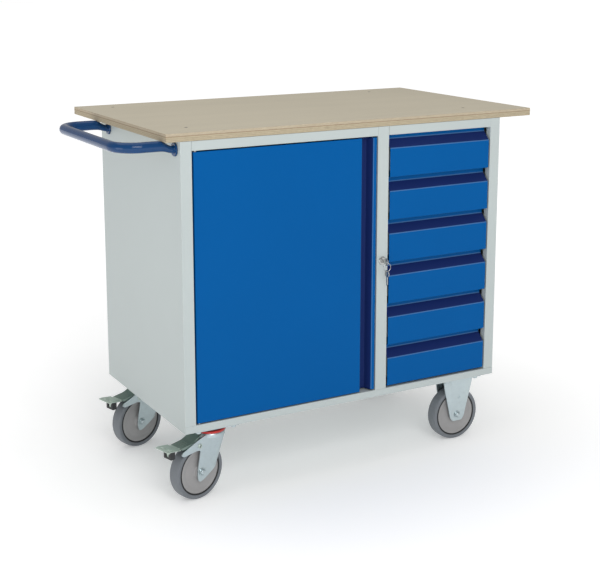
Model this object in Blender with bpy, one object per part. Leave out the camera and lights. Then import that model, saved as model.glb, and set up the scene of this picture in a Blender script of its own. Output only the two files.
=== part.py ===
"""Mobile workbench: sheet-steel cabinet with a cupboard door and six drawers under a
plywood worktop, a tubular push handle, and two swivel and two fixed casters."""
import math

import bmesh
import bpy
from mathutils import Vector

MM = 0.001
GAP = 0.3 * MM                      # between neighbouring pieces
SHEET = 1.5 * MM                    # cabinet sheet steel
THIN_SHEET = 1.2 * MM               # door, drawer and shelf sheet steel

# worktop and cabinet
WORKTOP_WIDTH = 1170 * MM
WORKTOP_DEPTH = 690 * MM
WORKTOP_THICKNESS = 22 * MM
OVERHANG_LEFT = 38 * MM
CABINET_WIDTH = 1020 * MM
CABINET_DEPTH = 565 * MM
CABINET_BOTTOM = 205 * MM
CABINET_TOP = 989 * MM
BOTTOM_RAIL = 20.5 * MM
TOP_RAIL = 25.5 * MM
LEFT_POST = 32 * MM
RIGHT_POST = 33 * MM
POST_RETURN = 20 * MM               # how far a post's edge is folded back
PILLAR_LEFT = 597 * MM              # from the cabinet's left side
PILLAR_WIDTH = 36 * MM
PILLAR_RETURN = 25 * MM
REAR_FLANGE = 25 * MM
BACK_SHELF = 95 * MM                # the back panel's top flange, which carries the rear screws
RAIL_FLANGE = 32 * MM
CASTER_FLANGE = 180 * MM            # floor tray's return flanges, which carry the caster plates

# push handle
HANDLE_TUBE = 14 * MM               # radius
HANDLE_NECK = 9.5 * MM              # radius where the tube is drawn in at its ends
HANDLE_REACH = 150 * MM             # tube centre line from the cabinet's side
HANDLE_HEIGHT = 977 * MM
HANDLE_FOOT = 966 * MM              # height of the discs, which are lower than the tube
HANDLE_FRONT = 32 * MM
HANDLE_REAR = 504 * MM
HANDLE_BEND = 60 * MM

# drawers
DRAWERS = 6
DRAWER_PITCH = 122.4 * MM
DRAWER_SIDE_GAP = 5 * MM
DRAWER_TOP_GAP = 4.6 * MM
FACE_HEIGHT = 82.4 * MM
GRIP_DEPTH = 25 * MM
GRIP_RISE = 24 * MM
BOX_SIDE_ROOM = 17 * MM             # from the opening's side to the drawer box
BOX_DEPTH = 470 * MM
BOX_LOW = 16 * MM                   # box floor above the front's lower edge
BOX_HEIGHT = 82 * MM
SLIDE_HEIGHT = 14 * MM
SLIDE_LOW = 44 * MM                 # slide bar above the front's lower edge
SLIDE_ROOM = 1 * MM                 # between slide bar and runner
SLIDE_FRONT = 40 * MM
CATCH_LOW = 72 * MM                 # drawer's catch above the front's lower edge
CATCH_HEIGHT = 10 * MM
CATCH_THICKNESS = 3 * MM
RUNNER_FRONT = 42 * MM
RUNNER_REAR = 530 * MM

# door
DOOR_GAP = 4 * MM
DOOR_HINGE_GAP = 5 * MM
DOOR_SETBACK = 1 * MM
DOOR_FLANGE = 19 * MM
HINGE_FROM_EDGE = 7 * MM
HINGE_FROM_FACE = 7 * MM
HINGE_PIN = 3.5 * MM                # radius
PIN_PLAY = 0.4 * MM
DOOR_CHANNEL_LEFT = 545.6 * MM      # grip channel, from the cabinet's left side
DOOR_CHANNEL_DEPTH = 25 * MM
DOOR_CHANNEL_FLOOR = 28 * MM
DOOR_CHANNEL_SLANT = 9 * MM

# lock in the middle pillar
LOCK_HEIGHT = 607 * MM
LOCK_HOUSING = 9 * MM               # barrel radius
LOCK_ROSETTE = 12 * MM              # rosette radius
LOCK_PLUG = 6 * MM
CAM_RADIUS = 8 * MM                 # from the plug's axis to the cam's pin
CAM_PIN = 2 * MM
BAR_FRONT = 28.6 * MM               # lock bar, behind the pillar's folded edge
BAR_THICKNESS = 2.5 * MM
BAR_TAB = 8 * MM                    # height of a tab
LATCH_FRONT = 34 * MM               # the catches, behind the bar's tabs

# casters
WHEEL_RADIUS = 80 * MM
WHEEL_WIDTH = 37 * MM
HUB_WIDTH = 44 * MM
TYRE_DEPTH = 13 * MM                # tread thickness
AXLE_RADIUS = 6 * MM
CASTER_X_SWIVEL = 100 * MM          # from the cabinet's left side
CASTER_X_FIXED = 919 * MM
CASTER_Y_FRONT = 62 * MM
CASTER_Y_REAR = 490 * MM
SWIVEL_TRAIL = 50 * MM
SWIVEL_REST = math.radians(15)      # how the swivel casters stand at rest
PLATE_X = 67.5 * MM                 # half sizes of a caster's top plate
PLATE_Y = 55 * MM
PLATE_THICKNESS = 4 * MM
FORK_INNER = 23 * MM
FORK_SHEET = 3.5 * MM
CROWN_TOP = 180 * MM
CROWN_LOW = 170 * MM
CROWN_RADIUS = 40 * MM
HEAD_RADIUS = 27 * MM
KING_PIN = 8 * MM

# key pieces that set the front of the whole object
KEY_BOW = 11 * MM                   # bow radius
KEY_REACH = 20 * MM                 # bow centre in front of the pillar
KEY_HOLE = 5.5 * MM                 # hole's distance from the bow's centre
RING_RADIUS = 12 * MM
RING_WIRE = 0.8 * MM

ROUND = 32                          # sides of a wheel
MIDDLE_ROUND = 24                   # sides of swivel heads and the key ring
SMALL_ROUND = 12                    # sides of pins and bolts

# the origin is on the floor, under the middle of the whole object's box
FRONT_MOST = KEY_REACH + KEY_HOLE + KEY_BOW
WORKTOP_RIGHT = WORKTOP_WIDTH - OVERHANG_LEFT
LEFT = (HANDLE_REACH + HANDLE_TUBE - WORKTOP_RIGHT) / 2
FRONT = (FRONT_MOST - WORKTOP_DEPTH) / 2
TOP = CABINET_TOP - GAP
OPENING_LOW = CABINET_BOTTOM + BOTTOM_RAIL
OPENING_HIGH = CABINET_TOP - TOP_RAIL
PILLAR_RIGHT = PILLAR_LEFT + PILLAR_WIDTH
DRAWERS_RIGHT = CABINET_WIDTH - RIGHT_POST


def paint(name, colour, roughness, metallic=0.0):
    """Make a Principled material."""
    material = bpy.data.materials.new(name)
    material.use_nodes = True
    shader = material.node_tree.nodes["Principled BSDF"]
    shader.inputs["Base Color"].default_value = (*colour, 1.0)
    shader.inputs["Roughness"].default_value = roughness
    shader.inputs["Metallic"].default_value = metallic
    return material


def at(x, y, z=0.0):
    """Turn a place measured from the cabinet's front left edge into a world place."""
    return Vector((LEFT + x, FRONT + y, z))


def place(name, bm, material, pivot=None):
    """Make an object from a bmesh; its origin is the pivot when one is given."""
    bmesh.ops.recalc_face_normals(bm, faces=bm.faces)
    mesh = bpy.data.meshes.new(name)
    if pivot is None:
        bmesh.ops.translate(bm, verts=bm.verts, vec=at(0, 0))
    bm.to_mesh(mesh)
    bm.free()
    mesh.shade_smooth()
    mesh.set_sharp_from_angle(angle=math.radians(35))
    mesh.materials.append(material)
    thing = bpy.data.objects.new(name, mesh)
    bpy.context.collection.objects.link(thing)
    thing.parent = pivot
    return thing


def empty(name, location, parent=None, turn=0.0):
    """Make a pivot that moving pieces hang on."""
    pivot = bpy.data.objects.new(name, None)
    bpy.context.collection.objects.link(pivot)
    pivot.location = location
    pivot.rotation_euler.z = turn
    pivot.parent = parent
    return pivot


def combine(thing, bm, operation):
    """Cut a shape from an object, or join it to the object, and keep the result as its mesh."""
    bmesh.ops.recalc_face_normals(bm, faces=bm.faces)
    mesh = bpy.data.meshes.new("tool")
    if thing.parent is None:
        bmesh.ops.translate(bm, verts=bm.verts, vec=at(0, 0))
    bm.to_mesh(mesh)
    bm.free()
    tool = bpy.data.objects.new("tool", mesh)
    bpy.context.collection.objects.link(tool)
    tool.parent = thing.parent
    modifier = thing.modifiers.new("combine", "BOOLEAN")
    modifier.operation = operation
    modifier.object = tool
    modifier.solver = "EXACT"
    bpy.context.view_layer.update()
    depsgraph = bpy.context.evaluated_depsgraph_get()
    result = bpy.data.meshes.new_from_object(thing.evaluated_get(depsgraph))
    thing.modifiers.clear()
    old = thing.data
    thing.data = result
    bpy.data.meshes.remove(old)
    bpy.data.objects.remove(tool)
    bpy.data.meshes.remove(mesh)


def block(low, high):
    """A box between two corners."""
    bm = bmesh.new()
    bmesh.ops.create_cube(bm, size=1.0)
    low = Vector(low)
    high = Vector(high)
    size = high - low
    bmesh.ops.scale(bm, verts=bm.verts, vec=size)
    bmesh.ops.translate(bm, verts=bm.verts, vec=(low + high) / 2)
    return bm


def prism(outline, axis, low, high):
    """A closed outline extruded along an axis."""
    bm = bmesh.new()
    spots = {
        "X": lambda u, v: (low, u, v),
        "Y": lambda u, v: (u, low, v),
        "Z": lambda u, v: (u, v, low),
    }
    corners = [bm.verts.new(spots[axis](u, v)) for u, v in outline]
    face = bm.faces.new(corners)
    along = {"X": (1, 0, 0), "Y": (0, 1, 0), "Z": (0, 0, 1)}[axis]
    sweep = bmesh.ops.extrude_face_region(bm, geom=[face])
    moved = [item for item in sweep["geom"] if isinstance(item, bmesh.types.BMVert)]
    bmesh.ops.translate(bm, verts=moved, vec=Vector(along) * (high - low))
    return bm


def fold(path, thickness):
    """The outline of folded sheet; the sheet lies on the left of its outer path."""
    inner = []
    for index, point in enumerate(path):
        here = Vector(point)
        sides = []
        if index > 0:
            sides.append((here - Vector(path[index - 1])).normalized())
        if index < len(path) - 1:
            sides.append((Vector(path[index + 1]) - here).normalized())
        normals = [Vector((-side.y, side.x)) for side in sides]
        middle = (normals[0] + normals[-1]).normalized()
        inner.append(here + middle * thickness / middle.dot(normals[0]))
    return [tuple(point) for point in path] + [tuple(point) for point in reversed(inner)]


def turned(profile, axis, centre, sides):
    """A closed profile of (radius, along) points, turned about an axis through a centre."""
    bm = bmesh.new()
    spots = {
        "X": lambda r, a: (a, r, 0),
        "Y": lambda r, a: (0, a, -r),
        "Z": lambda r, a: (r, 0, a),
    }
    direction = {"X": (1, 0, 0), "Y": (0, 1, 0), "Z": (0, 0, 1)}[axis]
    ring = [bm.verts.new(spots[axis](r, a)) for r, a in profile]
    edges = []
    for index in range(len(ring)):
        if profile[index][0] > 0 or profile[index - 1][0] > 0:
            edges.append(bm.edges.new((ring[index - 1], ring[index])))
    bmesh.ops.spin(bm, geom=ring + edges, cent=(0, 0, 0), axis=direction, steps=sides,
                   angle=math.tau, use_merge=True)
    bmesh.ops.remove_doubles(bm, verts=bm.verts, dist=1e-6)
    bmesh.ops.translate(bm, verts=bm.verts, vec=centre)
    return bm


def rod(radius, axis, centre, low, high, sides=SMALL_ROUND):
    """A plain round bar along an axis."""
    return turned([(0, low), (radius, low), (radius, high), (0, high)], axis, centre, sides)


def tube(points, radii, sides):
    """A round bar swept along a path that stays clear of the vertical, one radius to a point."""
    bm = bmesh.new()
    rings = []
    for index, point in enumerate(points):
        before = Vector(points[max(index - 1, 0)])
        after = Vector(points[min(index + 1, len(points) - 1)])
        along = (after - before).normalized()
        across = along.cross(Vector((0, 0, 1))).normalized()
        rise = across.cross(along)
        ring = []
        for step in range(sides):
            angle = math.tau * step / sides
            offset = across * math.cos(angle) + rise * math.sin(angle)
            ring.append(bm.verts.new(Vector(point) + offset * radii[index]))
        rings.append(ring)
    for one, two in zip(rings, rings[1:]):
        for step in range(sides):
            after = (step + 1) % sides
            bm.faces.new((one[step], one[after], two[after], two[step]))
    bm.faces.new(reversed(rings[0]))
    bm.faces.new(rings[-1])
    return bm


def tray(low, high, wall):
    """A box open at the top, with walls and a floor of one thickness."""
    bm = block(low, high)
    top = max(bm.faces, key=lambda face: face.calc_center_median().z)
    bmesh.ops.inset_region(bm, faces=[top], thickness=wall, use_even_offset=True)
    sunk = bmesh.ops.extrude_face_region(bm, geom=[top])
    floor = [item for item in sunk["geom"] if isinstance(item, bmesh.types.BMVert)]
    bmesh.ops.delete(bm, geom=[top], context="FACES")
    bmesh.ops.translate(bm, verts=floor, vec=(0, 0, low[2] + wall - high[2]))
    return bm


def side_panels(grey):
    """Both sides, each one folded sheet: rear flange, side wall, front post and its return."""
    notch_back = SHEET + GAP
    left_path = [
        (REAR_FLANGE, CABINET_DEPTH), (0, CABINET_DEPTH), (0, 0),
        (LEFT_POST, 0), (LEFT_POST, POST_RETURN),
    ]
    right_path = [
        (DRAWERS_RIGHT, POST_RETURN), (DRAWERS_RIGHT, 0), (CABINET_WIDTH, 0),
        (CABINET_WIDTH, CABINET_DEPTH), (CABINET_WIDTH - REAR_FLANGE, CABINET_DEPTH),
    ]
    panels = {"left_side_panel": left_path, "right_side_panel": right_path}
    # each notch across X: the whole post, then the part inside the side wall
    left_end = LEFT_POST + 2 * GAP
    right_end = DRAWERS_RIGHT - GAP
    spans = {
        "left_side_panel": (-GAP, left_end, 2 * SHEET, left_end),
        "right_side_panel": (right_end, CABINET_WIDTH + GAP, right_end, CABINET_WIDTH - 2 * SHEET),
    }
    low_z = CABINET_BOTTOM - GAP
    high_z = OPENING_LOW + GAP
    for name, path in panels.items():
        outline = fold(path, SHEET)
        panel = place(name, prism(outline, "Z", CABINET_BOTTOM, TOP), grey)
        low_x, high_x, low_return, high_return = spans[name]
        # room for the bottom rail, which runs across in front of the sides
        cut = block((low_x, -GAP, low_z), (high_x, notch_back, high_z))
        combine(panel, cut, "DIFFERENCE")
        # the post's folded edge stops above the floor tray
        cut = block((low_return, notch_back - GAP, low_z), (high_return, POST_RETURN + GAP, high_z))
        combine(panel, cut, "DIFFERENCE")


def middle_partition(grey):
    """The wall between cupboard and drawers, folded into the pillar at its front."""
    path = [
        (PILLAR_LEFT, CABINET_DEPTH - 2 * SHEET - 2 * GAP), (PILLAR_LEFT, 0),
        (PILLAR_RIGHT, 0), (PILLAR_RIGHT, PILLAR_RETURN),
    ]
    wall = place("middle_partition",
                 prism(fold(path, SHEET), "Z", OPENING_LOW + GAP, TOP), grey)
    lock_x = PILLAR_LEFT + PILLAR_WIDTH / 2
    hole = rod(LOCK_HOUSING + GAP, "Y", (lock_x, 0, LOCK_HEIGHT), -SHEET, 2 * SHEET, ROUND)
    combine(wall, hole, "DIFFERENCE")
    low, high = door_tab_range()
    travel = bar_travel()
    slot = block((PILLAR_LEFT - SHEET, BAR_FRONT - SHEET, low - travel - SHEET),
                 (PILLAR_LEFT + 2 * SHEET, BAR_FRONT + BAR_THICKNESS + SHEET, high + SHEET))
    combine(wall, slot, "DIFFERENCE")


def rails(grey):
    """The two front rails between the posts, open channels facing back."""
    low = OPENING_HIGH
    spans = {
        "door_top_rail": (LEFT_POST + GAP, PILLAR_LEFT - GAP),
        "drawer_top_rail": (PILLAR_RIGHT + GAP, DRAWERS_RIGHT - GAP),
    }
    path = [(RAIL_FLANGE, TOP), (0, TOP), (0, low), (RAIL_FLANGE, low)]
    for name, (start, end) in spans.items():
        rail = place(name, prism(fold(path, SHEET), "X", start, end), grey)
        if name == "door_top_rail":
            combine(rail, hinge_hole(low - SHEET, low + 2 * SHEET), "DIFFERENCE")


def hinge_place():
    """The door's hinge line, measured from the cabinet's front left edge."""
    return Vector((LEFT_POST + DOOR_HINGE_GAP + HINGE_FROM_EDGE, DOOR_SETBACK + HINGE_FROM_FACE, 0))


def hinge_hole(low, high):
    """A cutter for a hole on the door's hinge line."""
    return rod(HINGE_PIN + PIN_PLAY, "Z", hinge_place(), low, high)


def floor_tray(grey):
    """The cabinet's floor with the bottom rail and the flanges that carry the casters."""
    inside = SHEET + GAP
    right = CABINET_WIDTH - inside
    back = CABINET_DEPTH - 2 * SHEET - 2 * GAP
    path = [
        (inside + CASTER_FLANGE, CABINET_BOTTOM), (inside, CABINET_BOTTOM),
        (inside, OPENING_LOW), (right, OPENING_LOW),
        (right, CABINET_BOTTOM), (right - CASTER_FLANGE, CABINET_BOTTOM),
    ]
    outline = fold([(x, z) for x, z in reversed(path)], SHEET)
    tray_floor = place("floor_tray", prism(outline, "Y", SHEET / 2, back), grey)
    rail = block((0, 0, CABINET_BOTTOM), (CABINET_WIDTH, SHEET, OPENING_LOW))
    combine(tray_floor, rail, "UNION")
    rear = block((inside, back - SHEET, CABINET_BOTTOM), (right, back, OPENING_LOW))
    combine(tray_floor, rear, "UNION")
    combine(tray_floor, hinge_hole(OPENING_LOW - 2 * SHEET, OPENING_LOW + SHEET), "DIFFERENCE")


def back_panel(grey):
    """The rear wall; its top flange reaches back under the worktop's overhang."""
    face = CABINET_DEPTH - SHEET - GAP
    reach = face + BACK_SHELF
    path = [(face, OPENING_LOW + GAP), (face, TOP), (reach, TOP), (reach, TOP - TOP_RAIL)]
    outline = fold(path, -SHEET)
    inside = REAR_FLANGE + GAP
    side = SHEET + GAP
    panel = place("back_panel", prism(outline, "X", inside, CABINET_WIDTH - inside), grey)
    low = (side, face - SHEET, OPENING_LOW + GAP)
    combine(panel, block(low, (inside + SHEET, face, TOP)), "UNION")
    low = (CABINET_WIDTH - inside - SHEET, face - SHEET, OPENING_LOW + GAP)
    combine(panel, block(low, (CABINET_WIDTH - side, face, TOP)), "UNION")


def cupboard_shelf(grey):
    """The shelf in the cupboard, folded down along its front and back."""
    front = 45 * MM
    rear = CABINET_DEPTH - 6 * MM
    height = 590 * MM
    lip = 22 * MM
    path = [(front, height - lip), (front, height), (rear, height), (rear, height - lip)]
    outline = fold(path, -THIN_SHEET)
    place("cupboard_shelf",
          prism(outline, "X", SHEET + 1 * MM, PILLAR_LEFT - 1 * MM), grey)


def worktop(wood, steel):
    """The plywood top and its four countersunk screws."""
    low = (-OVERHANG_LEFT, 0, CABINET_TOP)
    high = (WORKTOP_RIGHT, WORKTOP_DEPTH, CABINET_TOP + WORKTOP_THICKNESS)
    top = place("worktop", block(low, high), wood)
    head = 4.5 * MM
    shank = 2.2 * MM
    sink = 0.8 * MM
    spots = {
        "worktop_screw_front_left": (61.5 * MM, 98.6 * MM),
        "worktop_screw_back_left": (58 * MM, 621 * MM),
        "worktop_screw_front_right": (CABINET_WIDTH - 61.5 * MM, 98.6 * MM),
        "worktop_screw_back_right": (CABINET_WIDTH - 58 * MM, 621 * MM),
    }
    for name, (x, y) in spots.items():
        surface = high[2]
        well = turned([(0, -1.5 * WORKTOP_THICKNESS), (shank + GAP, -1.5 * WORKTOP_THICKNESS),
                       (shank + GAP, -head), (head + GAP, -sink), (head + GAP, 1 * MM),
                       (0, 1 * MM)], "Z", (x, y, surface), SMALL_ROUND)
        combine(top, well, "DIFFERENCE")
        screw = turned([(0, -WORKTOP_THICKNESS + GAP), (shank, -WORKTOP_THICKNESS + GAP),
                        (shank, -head), (head, -sink), (head, -GAP), (0, -GAP)],
                       "Z", (x, y, surface), SMALL_ROUND)
        place(name, screw, steel)


def push_handle(blue):
    """A bent tube at the cabinet's left end, drawn in and dropped at its ends to two welded discs."""
    # from the wall to the straight arm: reach, height and radius
    neck = [
        (GAP, HANDLE_FOOT, HANDLE_NECK), (4 * MM, HANDLE_FOOT, HANDLE_NECK),
        (14 * MM, HANDLE_FOOT + 1 * MM, HANDLE_NECK),
        (24 * MM, 970 * MM, HANDLE_NECK + 0.5 * MM), (34 * MM, 974 * MM, 12 * MM),
        (44 * MM, HANDLE_HEIGHT - 0.5 * MM, HANDLE_TUBE), (54 * MM, HANDLE_HEIGHT, HANDLE_TUBE),
    ]
    route = [(Vector((-reach, HANDLE_FRONT, height)), radius) for reach, height, radius in neck]
    steps = 7
    for step in range(steps + 1):
        angle = math.pi / 2 * step / steps
        x = -HANDLE_REACH + HANDLE_BEND * (1 - math.sin(angle))
        y = HANDLE_FRONT + HANDLE_BEND * (1 - math.cos(angle))
        route.append((Vector((x, y, HANDLE_HEIGHT)), HANDLE_TUBE))
    both = HANDLE_FRONT + HANDLE_REAR
    route += [(Vector((spot.x, both - spot.y, spot.z)), radius) for spot, radius in reversed(route)]
    shape = tube([spot for spot, _ in route], [radius for _, radius in route], SMALL_ROUND)
    handle = place("push_handle", shape, blue)
    disc = 5 * MM
    for y in (HANDLE_FRONT, HANDLE_REAR):
        flange = rod(HANDLE_TUBE + 4 * MM, "X", (0, y, HANDLE_FOOT), -disc, -GAP, MIDDLE_ROUND)
        combine(handle, flange, "UNION")


def front_low(number):
    """The lower edge of a drawer's front; drawer 1 is the top one."""
    return OPENING_HIGH - DRAWER_PITCH * number + DRAWER_TOP_GAP / 2


def drawer(number, blue, grey):
    """One drawer: the folded front with its grip slope and the box with its slide bars."""
    low = front_low(number)
    left = PILLAR_RIGHT + DRAWER_SIDE_GAP
    right = DRAWERS_RIGHT - DRAWER_SIDE_GAP
    lip = low + DRAWER_PITCH - DRAWER_TOP_GAP
    path = [
        (12 * MM, low), (0, low), (0, low + FACE_HEIGHT),
        (GRIP_DEPTH, low + FACE_HEIGHT + GRIP_RISE), (GRIP_DEPTH, lip),
    ]
    outline = fold(path, -THIN_SHEET)
    pivot = empty(f"drawer_{number}", at(0, 0, low))
    path = [(y, z - low) for y, z in outline]
    place(f"drawer_{number}_front", prism(path, "X", left, right), blue, pivot)
    box_left = PILLAR_RIGHT + BOX_SIDE_ROOM
    box_right = DRAWERS_RIGHT - BOX_SIDE_ROOM
    box_front = GRIP_DEPTH + THIN_SHEET + GAP
    box = place(f"drawer_{number}_box",
                tray((box_left, box_front, BOX_LOW),
                     (box_right, box_front + BOX_DEPTH, BOX_LOW + BOX_HEIGHT), THIN_SHEET),
                grey, pivot)
    reach = BOX_SIDE_ROOM - 3.5 * MM
    bar_rear = box_front + BOX_DEPTH
    for outer, wall in ((box_left - reach, box_left), (box_right + reach, box_right)):
        start = min(outer, wall - THIN_SHEET / 2)
        end = max(outer, wall + THIN_SHEET / 2)
        bar = block((start, SLIDE_FRONT, SLIDE_LOW), (end, bar_rear, SLIDE_LOW + SLIDE_HEIGHT))
        combine(box, bar, "UNION")
    low_corner = (box_left - reach, LATCH_FRONT, CATCH_LOW)
    high_corner = (box_left + THIN_SHEET / 2, LATCH_FRONT + CATCH_THICKNESS, CATCH_LOW + CATCH_HEIGHT)
    combine(box, block(low_corner, high_corner), "UNION")


def runner_racks(steel):
    """Two ladders, each of two uprights and six runner channels, one on either side."""
    upright = 24 * MM
    runner_wall = 1.5 * MM
    flange = 9 * MM
    left_face = PILLAR_RIGHT + 1.5 * MM
    right_face = DRAWERS_RIGHT - 1.5 * MM
    uprights = {
        "left_runner_rack": (PILLAR_LEFT + SHEET + GAP, left_face + runner_wall / 2),
        "right_runner_rack": (right_face - runner_wall / 2, CABINET_WIDTH - SHEET - GAP),
    }
    front = 70 * MM
    rear = 480 * MM
    for name, (start, end) in uprights.items():
        low_end = OPENING_LOW + GAP
        rack = place(name, block((start, front, low_end), (end, front + upright, OPENING_HIGH)), steel)
        left_side = name == "left_runner_rack"
        web = left_face if left_side else right_face
        inward = 1 if left_side else -1
        for number in range(1, DRAWERS + 1):
            low = front_low(number) + SLIDE_LOW - SLIDE_ROOM - runner_wall
            high = low + SLIDE_HEIGHT + 2 * SLIDE_ROOM + 2 * runner_wall
            edge = web + inward * flange
            outline = fold([(edge, low), (web, low), (web, high), (edge, high)], -inward * runner_wall)
            combine(rack, prism(outline, "Y", RUNNER_FRONT, RUNNER_REAR), "UNION")
        combine(rack, block((start, rear, low_end), (end, rear + upright, OPENING_HIGH)), "UNION")


def door_latch_height():
    """The lower edge of the door's latch."""
    return LOCK_HEIGHT + 60 * MM


def door_tab_range():
    """The bar's door tab when locked: low and high edge."""
    low = door_latch_height() + 1 * MM
    return low, low + BAR_TAB


def bar_travel():
    """How far a quarter turn of the cam lifts the bar."""
    return 2 * CAM_RADIUS * math.sin(math.pi / 4)


def door(blue, steel):
    """The cupboard door with its vertical grip channel, and the two hinge pins."""
    hinge = hinge_place()
    pivot = empty("door_hinge", at(hinge.x, hinge.y, OPENING_LOW))
    left = -HINGE_FROM_EDGE
    right = PILLAR_LEFT - 3 * MM - hinge.x
    face = -HINGE_FROM_FACE
    low = DOOR_GAP
    high = OPENING_HIGH - OPENING_LOW - DOOR_GAP
    channel = DOOR_CHANNEL_LEFT - hinge.x
    path = [
        (left, face + DOOR_FLANGE), (left, face), (channel, face),
        (channel, face + DOOR_CHANNEL_DEPTH),
        (channel + DOOR_CHANNEL_FLOOR, face + DOOR_CHANNEL_DEPTH),
        (channel + DOOR_CHANNEL_FLOOR + DOOR_CHANNEL_SLANT, face),
        (right, face), (right, face + DOOR_FLANGE),
    ]
    panel = place("door_panel", prism(fold(path, THIN_SHEET), "Z", low, high), blue, pivot)
    overlap = THIN_SHEET / 2
    for start, end in ((low, low + THIN_SHEET), (high - THIN_SHEET, high)):
        plate = block((left + overlap, face + overlap, start),
                      (channel - THIN_SHEET - GAP, face + DOOR_FLANGE, end))
        combine(panel, plate, "UNION")
        hole = rod(HINGE_PIN + PIN_PLAY, "Z", (0, 0, 0), start - SHEET, end + SHEET)
        combine(panel, hole, "DIFFERENCE")
    latch = door_latch_height() - OPENING_LOW
    back = LATCH_FRONT - hinge.y
    # the latch goes round the bar's tab, seen from above as a hook
    inner = right - overlap
    stem = right - 7.5 * MM
    foot = face + DOOR_FLANGE - 4 * MM
    bend = foot + 3.5 * MM
    rear = back + CATCH_THICKNESS
    hook = [
        (inner, foot), (inner, bend), (stem + CATCH_THICKNESS, bend), (stem + CATCH_THICKNESS, back),
        (inner, back), (inner, rear), (stem, rear), (stem, foot),
    ]
    combine(panel, prism(hook, "Z", latch, latch + CATCH_HEIGHT), "UNION")
    centre = (hinge.x, hinge.y, 0)
    low_pin = rod(HINGE_PIN, "Z", centre, OPENING_LOW - 8 * MM, OPENING_LOW + 14 * MM)
    place("door_hinge_pin_lower", low_pin, steel)
    high_pin = rod(HINGE_PIN, "Z", centre, OPENING_HIGH - 14 * MM, OPENING_HIGH + 8 * MM)
    place("door_hinge_pin_upper", high_pin, steel)


def key(steel, name, pivot, bow_centre, hole_centre, blade):
    """A flat key in the plane across X: round bow, ring hole and a plain blade."""
    half = 1.1 * MM
    thing = place(name, rod(KEY_BOW, "X", bow_centre, -half, half, MIDDLE_ROUND), steel, pivot)
    combine(thing, rod(2.6 * MM, "X", hole_centre, -2 * half, 2 * half), "DIFFERENCE")
    combine(thing, block(*blade), "UNION")
    return thing


def lock(steel):
    """Cylinder lock, key, spare key on a ring, and the bar that the cam lifts."""
    x = PILLAR_LEFT + PILLAR_WIDTH / 2
    bore = LOCK_PLUG + GAP
    rosette = 3 * MM
    barrel = 22 * MM
    housing = turned([(bore, -rosette), (LOCK_ROSETTE - 1 * MM, -rosette), (LOCK_ROSETTE, -GAP),
                      (LOCK_HOUSING, -GAP), (LOCK_HOUSING, barrel), (bore, barrel)],
                     "Y", (x, 0, LOCK_HEIGHT), MIDDLE_ROUND)
    place("lock_housing", housing, steel)
    pivot = empty("lock_turn", at(x, 0, LOCK_HEIGHT))
    cam_front = barrel + GAP
    cam_rear = cam_front + 2.5 * MM
    plug = place("lock_plug", rod(LOCK_PLUG, "Y", (0, 0, 0), -rosette + GAP, cam_front + 1 * MM,
                                    MIDDLE_ROUND), steel, pivot)
    corner = CAM_RADIUS * math.sin(math.pi / 4)
    cam = prism([(4 * MM, -4 * MM), (4 * MM, 4 * MM), (-4 * MM, 4 * MM),
                 (-corner - 3 * MM, -corner), (-corner, -corner - 3 * MM)],
                "Y", cam_front, cam_rear)
    combine(plug, cam, "UNION")
    pin = rod(CAM_PIN, "Y", (-corner, 0, -corner), cam_rear - 1 * MM, BAR_FRONT + BAR_THICKNESS + 1 * MM)
    combine(plug, pin, "UNION")
    keyway = block((-1.4 * MM, -5 * MM, -4 * MM), (1.4 * MM, 16 * MM, 4 * MM))
    combine(plug, keyway, "DIFFERENCE")
    key_pivot = empty("key", (0, 0, 0), pivot)
    key(steel, "lock_key", key_pivot, (0, -KEY_REACH, 0),
        (0, -KEY_REACH - KEY_HOLE, -KEY_HOLE / 2),
        ((-1.1 * MM, -KEY_REACH + KEY_BOW - 3 * MM, -3.4 * MM), (1.1 * MM, 14 * MM, 3.4 * MM)))
    ring_at = at(x, -KEY_REACH - KEY_HOLE, LOCK_HEIGHT - KEY_HOLE / 2)
    ring_pivot = empty("key_ring_swing", ring_at)
    wire = [(RING_RADIUS + RING_WIRE * math.cos(math.tau * step / 6),
             RING_WIRE * math.sin(math.tau * step / 6)) for step in range(6)]
    place("key_ring", turned(wire, "Y", (0, 0, -RING_RADIUS), MIDDLE_ROUND), steel, ring_pivot)
    hang = -2 * RING_RADIUS
    key(steel, "spare_key", ring_pivot, (0, 0, hang - KEY_HOLE), (0, 0, hang),
        ((-1.1 * MM, -3.4 * MM, hang - KEY_HOLE - KEY_BOW - 24 * MM),
         (1.1 * MM, 3.4 * MM, hang - KEY_HOLE - KEY_BOW + 3 * MM)))
    lock_bar(steel, x, corner)


def lock_bar(steel, x, corner):
    """The flat bar in the pillar: a slot for the cam's pin and a tab for each drawer."""
    half = 9 * MM
    overlap = 2 * MM
    low = front_low(DRAWERS) - LOCK_HEIGHT
    high = front_low(1) + CATCH_LOW + 15 * MM - LOCK_HEIGHT
    pivot = empty("lock_bar_slide", at(x, 0, LOCK_HEIGHT))
    rear = BAR_FRONT + BAR_THICKNESS
    bar = place("lock_bar", block((-half, BAR_FRONT, low), (half, rear, high)), steel, pivot)
    travel = bar_travel()
    for number in range(1, DRAWERS + 1):
        start = front_low(number) + CATCH_LOW + 1 * MM - travel - LOCK_HEIGHT
        reach = PILLAR_RIGHT + 7 * MM - x
        tab = block((half - overlap, BAR_FRONT, start), (reach, rear, start + BAR_TAB))
        combine(bar, tab, "UNION")
    start, end = (edge - travel - LOCK_HEIGHT for edge in door_tab_range())
    reach = PILLAR_LEFT - 6 * MM - x
    combine(bar, block((reach, BAR_FRONT, start), (overlap - half, rear, end)), "UNION")
    room = CAM_PIN + 0.6 * MM
    slot = block((-CAM_RADIUS - room, BAR_FRONT - SHEET, -corner - room),
                 (room - corner, rear + SHEET, room - corner))
    combine(bar, slot, "DIFFERENCE")


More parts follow.
